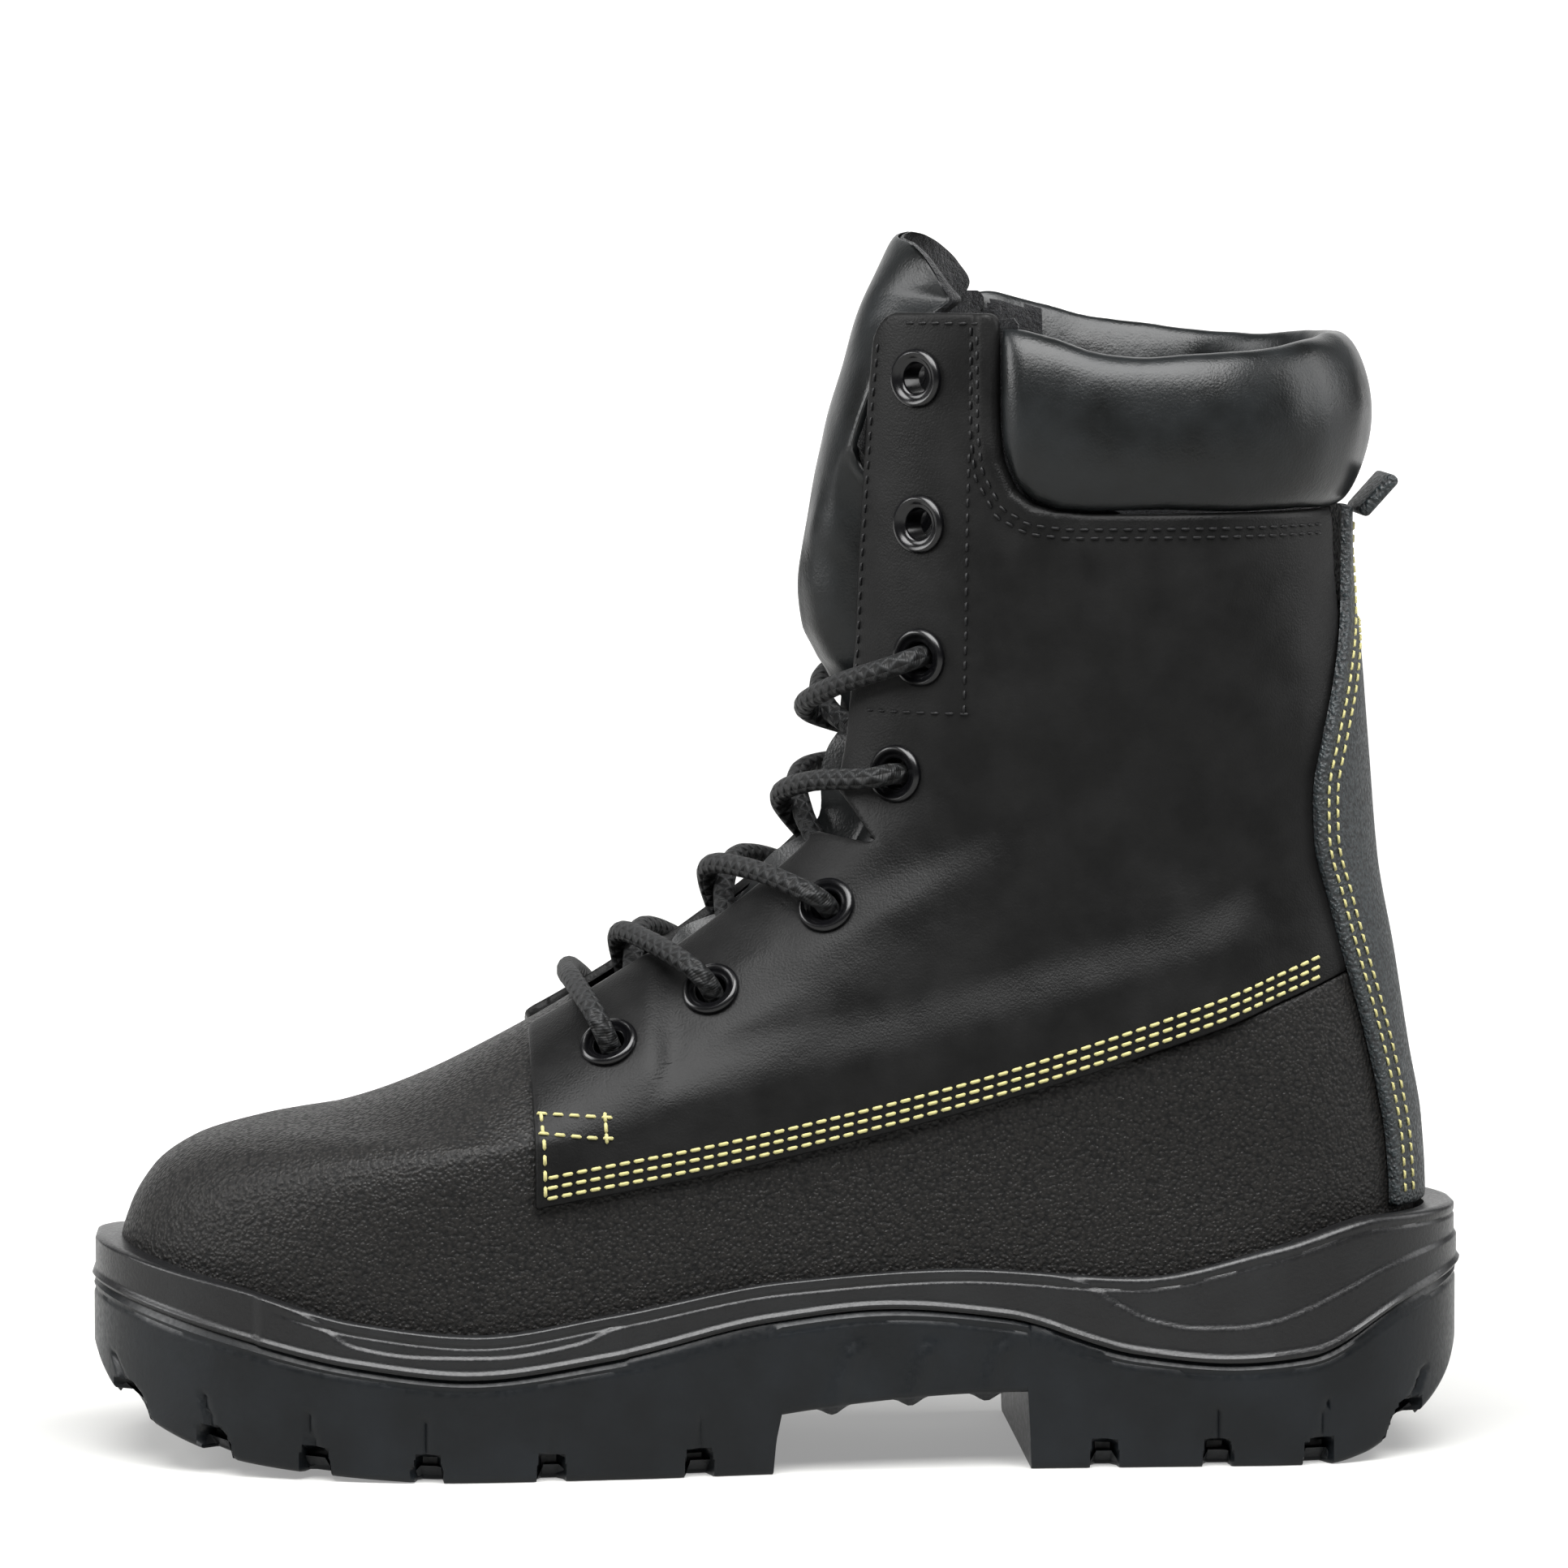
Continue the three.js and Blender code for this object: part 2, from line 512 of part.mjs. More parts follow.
// ---------------------------------------------------------------- heel pull tab
const tabHeight = collarBottom - 0.8;
const tabRoot = [backEdge(tabHeight) + (liftHeight + seamGap + 0.2 + tabThickness / 2) / stretch, tabHeight];
const tabTurn = tabAngle * Math.PI / 180;
function tabOutline() {
  const half = tabThickness / 2;
  const ends = [[0, tabTurn + Math.PI / 2], [tabLength - half, tabTurn - Math.PI / 2]];
  const points = [];
  ends.forEach(([reach, start]) => {
    for (let i = 0; i <= 6; i += 1) {
      const angle = start + Math.PI * i / 6;
      points.push([tabRoot[0] + (reach * Math.cos(tabTurn) + half * Math.cos(angle)) / stretch,
        tabRoot[1] + (reach * Math.sin(tabTurn) + half * Math.sin(angle)) / tall]);
    }
  });
  return points;
}
const pullTab = sidePrism(tabOutline(), -tabWidth / 2, tabWidth / 2);

// ---------------------------------------------------------------- eyelets
// frame of each eyelet: its place on the leather, its outward axis and the way to the throat
function surfaceFrame(side, x, z) {
  const step = 0.6;
  const p = lastPoint(side, x, z);
  const byX = lastPoint(side, x + step, z).sub(lastPoint(side, x - step, z));
  const byZ = lastPoint(side, x, z + step).sub(lastPoint(side, x, z - step));
  const axis = byX.cross(byZ).normalize();
  if (axis.y * side < 0) axis.negate();
  const lift = liftHeight * quarterLift(x, z);
  p.addScaledVector(axis, lift);
  return { place: p, axis, lift };
}
const eyeletSpin = 8;
function turned(profile, frame) {
  const geometry = new THREE.LatheGeometry(profile.map(([r, h]) => new THREE.Vector2(r, h)), eyeletSpin);
  const turn = new THREE.Quaternion().setFromUnitVectors(new THREE.Vector3(0, 1, 0), frame.axis);
  geometry.applyMatrix4(new THREE.Matrix4().compose(frame.place, turn, new THREE.Vector3(1, 1, 1)));
  return geometry;
}
function drill(frame, radius, from, to) {
  const geometry = new THREE.CylinderGeometry(radius, radius, to - from, eyeletSpin);
  geometry.translate(0, (from + to) / 2, 0);
  const turn = new THREE.Quaternion().setFromUnitVectors(new THREE.Vector3(0, 1, 0), frame.axis);
  geometry.applyMatrix4(new THREE.Matrix4().compose(frame.place, turn, new THREE.Vector3(1, 1, 1)));
  return toSolid(geometry);
}
function eyeletProfile(lift) {
  const end = eyeletEnd - lift;
  return [[eyeletBore, end], [barrelRadius, end], [barrelRadius, seamGap - seatDepth],
    [eyeletFlange, seamGap - seatDepth], [eyeletFlange - 0.4, eyeletRise * 0.7], [eyeletFlange - 1.6, eyeletRise],
    [eyeletBore + 0.7, eyeletRise], [eyeletBore, eyeletRise - 0.8], [eyeletBore, end]];
}
function washerProfile(lift) {
  const top = washerTop - lift;
  const hole = barrelRadius + seamGap;
  return [[hole, top], [hole, top - washerThickness], [washerRadius, top - washerThickness],
    [washerRadius, top], [hole, top]];
}

const frames = {};
Object.entries(sideNames).forEach(([name, side]) => {
  frames[name] = eyeletCentres.map(([x, z]) => surfaceFrame(side, x, z));
});

// ---------------------------------------------------------------- lace
// frame on the ridge line over the tongue, where two strands cross
function ridgeFrame(z) {
  const slope = (frontEdge(z + 1) - frontEdge(z - 1)) * stretch / (2 * tall);
  return {
    place: new THREE.Vector3(frontEdge(z) * stretch, 0, z * tall),
    axis: new THREE.Vector3(-1, 0, slope).normalize(),
    lift: 0,
  };
}
// point over the curved leather between two frames, from 0 to 1, lifted off its face
function between(from, to, t, lift) {
  const turn = from.axis.angleTo(to.axis);
  const sag = from.place.distanceTo(to.place) * Math.tan(turn / 4) / 2;
  const axis = from.axis.clone().lerp(to.axis, t).normalize();
  return from.place.clone().lerp(to.place, t).addScaledVector(axis, lift + 4 * t * (1 - t) * sag);
}
function besideHole(frame, toward, reach, lift) {
  const way = toward.clone().sub(frame.place);
  way.addScaledVector(frame.axis, -way.dot(frame.axis)).normalize();
  return frame.place.clone().addScaledVector(way, reach).addScaledVector(frame.axis, lift);
}
// strand that comes from under one edge, crosses the tongue and goes over the other edge
function strand(under, over, ridgeHeight, lift) {
  const ridge = ridgeFrame(ridgeHeight);
  return [
    besideHole(under, ridge.place, 0.2, eyeletEnd - under.lift - 1.3),
    besideHole(under, ridge.place, 3, underFace - under.lift),
    between(under, ridge, 0.56, underFace + 0.4),
    between(under, ridge, 1, lift),
    between(over, ridge, 0.55, overFace),
    besideHole(over, ridge.place, 3, overFace + 0.3),
    besideHole(over, ridge.place, 0.2, eyeletRise + 1.3),
  ];
}
const crossings = [{ row: 2, height: 167 }, { row: 3, height: 144.5 }, { row: 4, height: 127 },
  { row: 5, height: 112 }];
const barHeight = 104;
const liftOver = 5.4;
const liftUnder = -0.6;
// loose end: from inside the top laced hole it drops as drawn, [x, |y|, z], and then lies
// over the footbed, [x, |y|, height of its centre over the footbed]
const tailDrop = [[39, 22.5, 176], [42.5, 22.5, 160], [42.5, 24, 130], [35, 25.5, 95]];
const tailFloor = [[22, 25.5, 19.5], [4, 25.5, 5.9], [-30, 26, 3.4], [-68, 27, 3.9], [-92, 24.5, 3.7],
  [-97, 20.5, 3.8], [-91, 16.6, 3.6], [-62, 16, 3.7], [-30, 16, 3.4], [4, 16, 3.9]];
const tailEnd = [30, 16, 3.8];
const floorUnder = (x) => platform(x) * tall + boardThickness + seamGap + footbedThickness;
const onFloor = ([x, y, height], side) => new THREE.Vector3(x * stretch, side * y, floorUnder(x) + height);
function tail(side) {
  const drop = tailDrop.map(([x, y, z]) => new THREE.Vector3(x * stretch, side * y, z * tall));
  return [...drop, ...tailFloor.map((drawn) => onFloor(drawn, side))];
}
function lacePoints() {
  const { lateral, medial } = frames;
  const down = [];
  const up = [];
  crossings.forEach(({ row, height }, i) => {
    const flip = i % 2 === 0;
    const first = flip ? lateral : medial;
    const second = flip ? medial : lateral;
    down.push(...strand(second[row + 1], first[row], height, flip ? liftOver : liftUnder).reverse());
    up.unshift(...strand(first[row + 1], second[row], height, flip ? liftUnder : liftOver));
  });
  const last = eyeletCentres.length - 1;
  const bar = ridgeFrame(barHeight);
  const barStrand = [
    besideHole(lateral[last], bar.place, 0.2, eyeletRise + 1.3),
    besideHole(lateral[last], bar.place, 3, overFace + 0.3),
    between(lateral[last], bar, 0.6, overFace),
    between(lateral[last], bar, 1, overFace),
    between(medial[last], bar, 0.6, overFace),
    besideHole(medial[last], bar.place, 3, overFace + 0.3),
    besideHole(medial[last], bar.place, 0.2, eyeletRise + 1.3),
  ];
  const endHoles = [lateral[2], medial[2]].map((frame) => {
    return frame.place.clone().addScaledVector(frame.axis, eyeletEnd - 1.3);
  });
  return [...tail(-1).reverse(), endHoles[0], ...down, ...barStrand, ...up, endHoles[1], ...tail(1)];
}
// curve whose steps follow its own points, so that tight turns get as many as they need
class RouteCurve extends THREE.CatmullRomCurve3 {
  getPointAt(t, target) {
    return this.getPoint(t, target);
  }

  getTangentAt(t, target) {
    return this.getTangent(t, target);
  }
}
const circle = (radius, count) => {
  const shape = new THREE.Shape();
  for (let i = 0; i < count; i += 1) {
    const angle = 2 * Math.PI * i / count;
    shape[i === 0 ? 'moveTo' : 'lineTo'](radius * Math.cos(angle), radius * Math.sin(angle));
  }
  return shape;
};
const route = new RouteCurve(lacePoints(), false, 'centripetal');
const lace = new THREE.ExtrudeGeometry(circle(laceRadius, 8), {
  steps: route.points.length - 1, extrudePath: route, bevelEnabled: false,
});
function laceTip(side) {
  const start = onFloor(tailFloor.at(-1), side);
  const end = onFloor(tailEnd, side);
  const way = end.clone().sub(start).normalize();
  const from = start.addScaledVector(way, seamGap * 1.5);
  const geometry = new THREE.CylinderGeometry(laceRadius - 0.1, laceRadius - 0.1, tipLength, 10);
  const turn = new THREE.Quaternion().setFromUnitVectors(new THREE.Vector3(0, 1, 0), way);
  const middle = from.clone().addScaledVector(way, tipLength / 2);
  geometry.applyMatrix4(new THREE.Matrix4().compose(middle, turn, new THREE.Vector3(1, 1, 1)));
  return geometry;
}

// ---------------------------------------------------------------- assembly
const finishes = {
  rubber: [0x2b2e33, 0.55, 0], foam: [0x2e2c2a, 0.6, 0], grained: [0x1d1b1a, 0.6, 0], smooth: [0x1a1b1d, 0.5, 0],
  padded: [0x1c1e22, 0.4, 0], strap: [0x34383c, 0.55, 0], textile: [0x202122, 0.9, 0], steel: [0x8d9196, 0.35, 1],
  fibre: [0x6b6a62, 0.6, 0], board: [0x8f8672, 0.8, 0], enamel: [0x0c0c0d, 0.25, 0.4], braid: [0x131314, 0.8, 0],
};
const boot = new THREE.Group();
function addPiece(name, geometry, finish) {
  const [color, roughness, metalness] = finishes[finish];
  const mesh = new THREE.Mesh(geometry, new THREE.MeshStandardMaterial({ color, roughness, metalness }));
  mesh.name = name;
  boot.add(mesh);
}

addPiece('outsole', toGeometry(outsole), 'rubber');
addPiece('midsole', toGeometry(midsole), 'foam');
addPiece('shank', toGeometry(shankBox(0)), 'fibre');
addPiece('insole_board', toGeometry(insoleBoard), 'board');
addPiece('footbed', toGeometry(footbed), 'textile');
addPiece('toe_cap', toGeometry(toeCap), 'steel');
addPiece('heel_counter', toGeometry(heelCounter), 'fibre');
addPiece('vamp', toGeometry(vamp), 'grained');
addPiece('backstay', toGeometry(backstay), 'strap');
addPiece('collar', toGeometry(collar), 'padded');
addPiece('lining', toGeometry(lining), 'textile');
addPiece('tongue_base', toGeometry(tongueBase), 'smooth');
addPiece('tongue_top', toGeometry(tongueTop), 'smooth');
addPiece('pull_tab', toGeometry(pullTab), 'strap');

Object.keys(sideNames).forEach((name) => {
  let quarter = quarterShell.intersect(quarterSides[name]);
  let facing = facingShell.intersect(facingSides[name]);
  frames[name].forEach((frame, row) => {
    quarter = quarter.subtract(drill(frame, barrelRadius + seamGap, -12, 12));
    quarter = quarter.subtract(drill(frame, eyeletFlange + seamGap, -seatDepth, 6));
    facing = facing.subtract(drill(frame, barrelRadius + seamGap, -12, 12));
    addPiece(`eyelet_${name}_${row + 1}`, turned(eyeletProfile(frame.lift), frame), 'enamel');
    addPiece(`eyelet_washer_${name}_${row + 1}`, turned(washerProfile(frame.lift), frame), 'enamel');
  });
  addPiece(`quarter_${name}`, toGeometry(quarter), 'smooth');
  addPiece(`facing_${name}`, toGeometry(facing), 'smooth');
});

addPiece('lace', lace, 'braid');
Object.entries(sideNames).forEach(([name, side]) => addPiece(`lace_tip_${name}`, laceTip(side), 'enamel'));

export default boot;
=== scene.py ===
import math

import bpy
import numpy as np
from mathutils import Matrix, Vector, kdtree


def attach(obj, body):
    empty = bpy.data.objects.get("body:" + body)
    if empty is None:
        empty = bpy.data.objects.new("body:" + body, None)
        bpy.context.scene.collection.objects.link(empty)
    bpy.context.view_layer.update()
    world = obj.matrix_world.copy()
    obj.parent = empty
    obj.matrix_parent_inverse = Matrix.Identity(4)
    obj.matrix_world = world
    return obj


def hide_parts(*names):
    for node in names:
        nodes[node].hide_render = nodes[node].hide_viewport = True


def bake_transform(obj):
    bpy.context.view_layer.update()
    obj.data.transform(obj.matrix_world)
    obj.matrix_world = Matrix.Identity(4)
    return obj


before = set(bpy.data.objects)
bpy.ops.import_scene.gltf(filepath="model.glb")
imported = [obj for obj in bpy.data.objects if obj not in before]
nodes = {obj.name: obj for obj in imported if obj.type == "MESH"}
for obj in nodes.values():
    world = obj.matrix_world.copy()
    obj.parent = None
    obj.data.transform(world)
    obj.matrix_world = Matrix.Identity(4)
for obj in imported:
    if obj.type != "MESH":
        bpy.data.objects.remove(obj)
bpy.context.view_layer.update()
mm = 0.001


# curves and small maths, in millimetres; the photo side is -Y

def curveThrough(points):
    xs = np.array([p[0] for p in points], float)
    ys = np.array([p[1] for p in points], float)
    slope = np.diff(ys) / np.diff(xs)
    tangent = np.zeros(len(xs))
    tangent[0], tangent[-1] = slope[0], slope[-1]
    for i in range(1, len(xs) - 1):
        if slope[i - 1] * slope[i] > 0:
            tangent[i] = 2 * slope[i - 1] * slope[i] / (slope[i - 1] + slope[i])

    def curve(value):
        v = np.clip(np.asarray(value, float), xs[0], xs[-1])
        i = np.clip(np.searchsorted(xs, v, side="right") - 1, 0, len(xs) - 2)
        h = xs[i + 1] - xs[i]
        t = (v - xs[i]) / h
        low = (1 + 2 * t) * (1 - t) ** 2 * ys[i] + t * (1 - t) ** 2 * h * tangent[i]
        return low + t * t * (3 - 2 * t) * ys[i + 1] + t * t * (t - 1) * h * tangent[i + 1]

    return curve


def ease(low, high, value):
    t = np.clip((np.asarray(value, float) - low) / (high - low), 0, 1)
    return t * t * (3 - 2 * t)


def roundOff(distance, length, power):
    t = np.clip(distance / length, 0, 1)
    return (1 - (1 - t) ** power) ** (1 / power)


def bell(value, width):
    return np.exp(-((value / width) ** 2))


def softNoise(points, scale, seed):
    q = np.asarray(points, float) / scale + seed * 7.31
    cell = np.floor(q)
    f = q - cell
    f = f * f * (3 - 2 * f)
    total = np.zeros(q.shape[:-1])
    for corner in range(8):
        step = np.array([corner & 1, corner >> 1 & 1, corner >> 2 & 1])
        at = cell + step
        dot = at[..., 0] * 12.9898 + at[..., 1] * 78.233 + at[..., 2] * 37.719
        value = np.sin(dot) * 43758.5453
        value = 2 * (value - np.floor(value)) - 1
        total += value * np.prod(np.where(step == 1, f, 1 - f), axis=-1)
    return total


def unit(v):
    return v / np.maximum(np.linalg.norm(v, axis=-1, keepdims=True), 1e-12)


def walked(line):
    return np.concatenate([[0], np.cumsum(np.linalg.norm(np.diff(line, axis=0), axis=1))])


bothSides = (("lateral", -1), ("medial", 1))


# the boot's lasting shape and seam lines

shape = {"lift": 2.5, "throatHalf": 15, "throatHalfTop": 24, "topLine": 258, "collarDip": 6}
frontEdge = curveThrough([[16, -146.5], [32, -148.5], [46, -149.3], [55, -147], [64, -141.5], [70, -133],
                          [73.5, -121], [76.5, -104], [82, -87], [92, -66], [104, -45], [117.5, -25],
                          [130.5, -8], [142, 4], [152, 9], [166, 12], [185, 13.5], [300, 13.5]])
backEdge = curveThrough([[16, 143], [40, 145.5], [57, 146], [74, 145], [90, 142.2], [112, 138.6],
                         [134, 134.6], [157, 132.6], [179, 130.8], [201, 128.6], [213, 128.4], [235, 131],
                         [258, 128.5], [300, 126]])
lowHalfWidth = curveThrough([[-150, 49.5], [-80, 51.5], [-35, 46.5], [0, 41], [60, 38], [150, 37]])
lowCentre = curveThrough([[-150, 5], [-110, 3.5], [-70, -0.5], [-20, -2], [50, 0], [150, 0]])
shaftWidth = curveThrough([[90, 41], [130, 38.5], [150, 40], [170, 44], [205, 47.5], [250, 48]])
featherLine = curveThrough([[-155, 49], [-141, 46], [-121, 41.9], [-96, 35.5], [-68, 32.8], [-40, 36.7],
                            [0, 43.3], [38, 45.3], [79, 42.9], [110, 49.2], [137, 55.5], [155, 55.5]])
partingLine = curveThrough([[-155, 39.4], [-125, 31.7], [-96, 25.5], [-70, 23], [-40, 26.6], [-4, 34.1],
                            [22, 36.5], [49, 34.1], [79, 25.5], [101, 23.3], [118, 24.7], [140, 35.9],
                            [155, 41.5]])
platform = curveThrough([[-150, 41.5], [-140, 37.5], [-125, 34.2], [-96, 28.2], [-70, 25.6], [-40, 29.2],
                         [-4, 36.6], [22, 39], [49, 38.4], [79, 38.6], [110, 39.5], [140, 41], [150, 43]])
treadLine = curveThrough([[-155, 24], [-153, 20], [-150, 16], [-141, 10], [-132, 6.3], [-121, 3.4],
                          [-104, 1.5], [-88, 0.4], [-78, 0], [-3.01, 0], [-3, 0], [-2.4, 6], [-1, 13.3],
                          [54.2, 17.3], [54.8, 6], [55, 0], [55.01, 0], [122, 0], [131, 2], [139, 6.5],
                          [146, 11], [152, 17.5], [155, 24]])
quarterHem = curveThrough([[-60, 59.7], [-54.5, 60.8], [-10, 68.6], [36, 79.3], [80, 92.6], [127, 109.8],
                           [150, 119]])
backstayEdge = curveThrough([[40, 137.5], [56, 137.5], [70, 136.7], [83, 134.4], [98, 130.7], [114, 126],
                             [127, 122.4], [140, 119.2], [150, 118.9], [162, 120.9], [175, 123.8], [190, 126],
                             [214, 127]])
collarSeat = [[47, 278], [47.2, 234], [48, 226], [51, 219.4], [55, 216.2], [60, 214.6], [67, 214], [165, 214]]
notchOutline = [[-20, 142], [8.7, 141.5], [21, 139.4], [12, 151.7], [-20, 160]]
facingEdge = [[-51, 90], [-46, 82.5], [-36, 83], [-8, 97], [20, 117], [37, 142], [44, 160], [45.4, 190],
              [45.4, 258]]
eyeletCentres = [[29.4, 243.5], [30, 211.1], [30.2, 181.3], [25.2, 155], [9.6, 125.8], [-16.3, 107.3],
                 [-38.5, 94.2]]


def collarTop(x):
    return shape["topLine"] - shape["collarDip"] * np.sin(np.pi * np.clip((x - 47) / 80, 0, 1))


def throatGap(z):
    wide = shape["throatHalfTop"] - shape["throatHalf"]
    return shape["throatHalf"] + wide * np.clip((z - 176) / 82, 0, 1.3)


# rounding of the last's front and back edges
rounding = {"front": 66, "frontPower": 2.2, "back": 50, "backPower": 2.05}


def frontReach(share):
    power = rounding["frontPower"]
    return rounding["front"] * (1 - (1 - share ** power) ** (1 / power))


def lastPoint(side, x, z):
    x, z = np.asarray(x, float), np.asarray(z, float)
    mix = ease(62, 128, z)
    half = lowHalfWidth(x) * (1 - mix) + shaftWidth(z) * mix
    centre = lowCentre(x) * (1 - mix)
    front = roundOff(x - frontEdge(z), rounding["front"], rounding["frontPower"])
    y = centre + side * half * front * roundOff(backEdge(z) - x, rounding["back"], rounding["backPower"])
    return np.stack([x + 0 * y, y, z + 0 * y], axis=-1)


def surfaceFrame(side, x, z):
    place = lastPoint(side, x, z)
    byX = lastPoint(side, x + 0.5, z) - lastPoint(side, x - 0.5, z)
    byZ = lastPoint(side, x, z + 0.5) - lastPoint(side, x, z - 0.5)
    axis = unit(np.cross(byX, byZ))
    flip = np.where(axis[..., 1] * side < 0, -1, 1)
    return place, axis * flip[..., None]


def quarterLift(x, z):
    hem = 1 - ease(16, 30, z - quarterHem(x))
    front = 1 - ease(-30, -24, x)
    return np.maximum(hem, front) * (1 - ease(98, 112, x))


def capZone(x, z):
    return np.maximum(1 - ease(-80, -62, x), ease(78, 90, x) * (1 - ease(112, 124, z)))


# fine net over the last: rows from the sole to the collar, columns round it
netSize = {"rows": 224, "columns": 404}


def buildNet(rows, columns):
    fine = np.linspace(17, 268, 2500)
    run = np.concatenate([[0], np.cumsum(np.hypot(np.diff(frontEdge(fine)), np.diff(fine)))])
    heights = np.interp(np.linspace(0, run[-1], rows), run, fine)
    half = columns // 2
    sweep = (1 - np.cos(np.pi * np.linspace(0, 1, 1200))) / 2
    net = np.zeros((rows, 2 * half, 3))
    for r, z in enumerate(heights):
        xs = frontEdge(z) + (backEdge(z) - frontEdge(z)) * sweep
        for side in (-1, 1):
            line = lastPoint(side, xs, z)
            walk = walked(line)
            at = np.interp(np.linspace(0, walk[-1], half + 1), walk, xs)
            line = lastPoint(side, at, z)
            if side < 0:
                net[r, : half + 1] = line
            else:
                net[r, half + 1:] = line[1:half][::-1]
    around = np.roll(net, -1, axis=1) - np.roll(net, 1, axis=1)
    up = np.gradient(net, axis=0)
    return net, unit(np.cross(around, up))


net, netNormal = buildNet(netSize["rows"], netSize["columns"])
print("net of the last", net.shape)


def netTriangles(rows, columns):
    r, c = np.meshgrid(np.arange(rows - 1), np.arange(columns), indexing="ij")
    a = (r * columns + c).ravel()
    b = (r * columns + (c + 1) % columns).ravel()
    return np.concatenate([np.stack([a, b, b + columns], 1), np.stack([a, b + columns, a + columns], 1)])


def outlineField(points, normals, outline):
    p = points[:, [0, 2]]
    best = np.full(len(p), np.inf)
    way = np.zeros((len(p), 2))
    inside = np.zeros(len(p), bool)
    corners = np.array(outline, float)
    for a, b in zip(corners, np.roll(corners, -1, axis=0)):
        ab = b - a
        t = np.clip(((p - a) @ ab) / max(ab @ ab, 1e-9), 0, 1)
        gap = p - a - t[:, None] * ab
        d = np.hypot(gap[:, 0], gap[:, 1])
        near = d < best
        best[near] = d[near]
        way[near] = gap[near]
        crosses = (a[1] > p[:, 1]) != (b[1] > p[:, 1])
        with np.errstate(divide="ignore", invalid="ignore"):
            cut = a[0] + (p[:, 1] - a[1]) / (b[1] - a[1]) * ab[0]
        inside ^= crosses & (p[:, 0] < cut)
    way /= np.maximum(best, 1e-6)[:, None]
    tilt = way[:, 0] * normals[:, 0] + way[:, 1] * normals[:, 2]
    field = np.where(inside, best, -best)
    return field / np.sqrt(np.maximum(1 - tilt ** 2, 0.1))


def roundMin(a, b, radius):
    corner = radius - np.hypot(np.maximum(radius - a, 0), np.maximum(radius - b, 0))
    return np.where((a < radius) & (b < radius), corner, np.minimum(a, b))


def cutAlong(values, tris, level):
    field = values[:, -1]
    field[np.abs(field - level) < 0.06] = level
    above = field[tris] > level
    mixed = above.any(1) & ~above.all(1)
    kept, split = tris[~mixed], tris[mixed]
    if not len(split):
        return values, tris
    flags = above[mixed]
    lone = np.where(flags.sum(1) == 1, flags.argmax(1), (~flags).argmax(1))
    index = np.arange(len(split))
    a, b, c = split[index, lone], split[index, (lone + 1) % 3], split[index, (lone + 2) % 3]
    pairs = np.sort(np.concatenate([np.stack([a, b], 1), np.stack([a, c], 1)]), axis=1)
    edges, inverse = np.unique(pairs, axis=0, return_inverse=True)
    inverse = inverse.ravel()
    low, high = field[edges[:, 0]], field[edges[:, 1]]
    t = np.clip((level - low) / np.where(np.abs(high - low) < 1e-9, 1e-9, high - low), 0, 1)
    fresh = values[edges[:, 0]] * (1 - t[:, None]) + values[edges[:, 1]] * t[:, None]
    fresh[:, -1] = level
    ab = len(values) + inverse[: len(a)]
    ac = len(values) + inverse[len(a):]
    made = [np.stack([a, ab, ac], 1), np.stack([ab, b, c], 1), np.stack([ab, c, ac], 1)]
    return np.concatenate([values, fresh]), np.concatenate([kept, *made])


def linked(obj):
    bpy.context.scene.collection.objects.link(obj)
    return obj


def added(name, primitive, **settings):
    bpy.ops.object.select_all(action="DESELECT")
    primitive(**settings)
    obj = bpy.context.active_object
    obj.name = name
    return obj


def ringFaces(count, ring):
    faces = []
    for r in range(count - 1):
        for i in range(ring):
            j = (i + 1) % ring
            faces.append((r * ring + i, r * ring + j, (r + 1) * ring + j, (r + 1) * ring + i))
    return faces


def sweepFaces(count, ring):
    ends = [tuple(range(ring))[::-1], tuple((count - 1) * ring + i for i in range(ring))]
    return ringFaces(count, ring) + ends


def makeObject(name, vertices, faces, weld=0.0):
    mesh = bpy.data.meshes.new(name)
    mesh.from_pydata((np.asarray(vertices) * mm).tolist(), [], [list(map(int, f)) for f in faces])
    mesh.validate()
    obj = linked(bpy.data.objects.new(name, mesh))
    if weld:
        tidyMesh(obj, weld)
    return obj


def alone(obj):
    bpy.ops.object.select_all(action="DESELECT")
    obj.select_set(True)
    bpy.context.view_layer.objects.active = obj


def tidyMesh(obj, weld):
    alone(obj)
    bpy.ops.object.mode_set(mode="EDIT")
    bpy.ops.mesh.select_all(action="SELECT")
    bpy.ops.mesh.remove_doubles(threshold=weld * mm)
    bpy.ops.mesh.normals_make_consistent(inside=False)
    bpy.ops.object.mode_set(mode="OBJECT")


def smoothShade(obj, degrees):
    alone(obj)
    bpy.ops.object.shade_smooth_by_angle(angle=math.radians(degrees))


def bevelEdges(obj, width, segments):
    bevel = obj.modifiers.new("bevel", "BEVEL")
    bevel.width = width * mm
    bevel.segments = segments
    bpy.ops.object.modifier_apply(modifier="bevel")


def standing(place, axis):
    turn = Vector(axis).to_track_quat("Z", "Y").to_matrix().to_4x4()
    return Matrix.Translation(Vector(place * mm)) @ turn


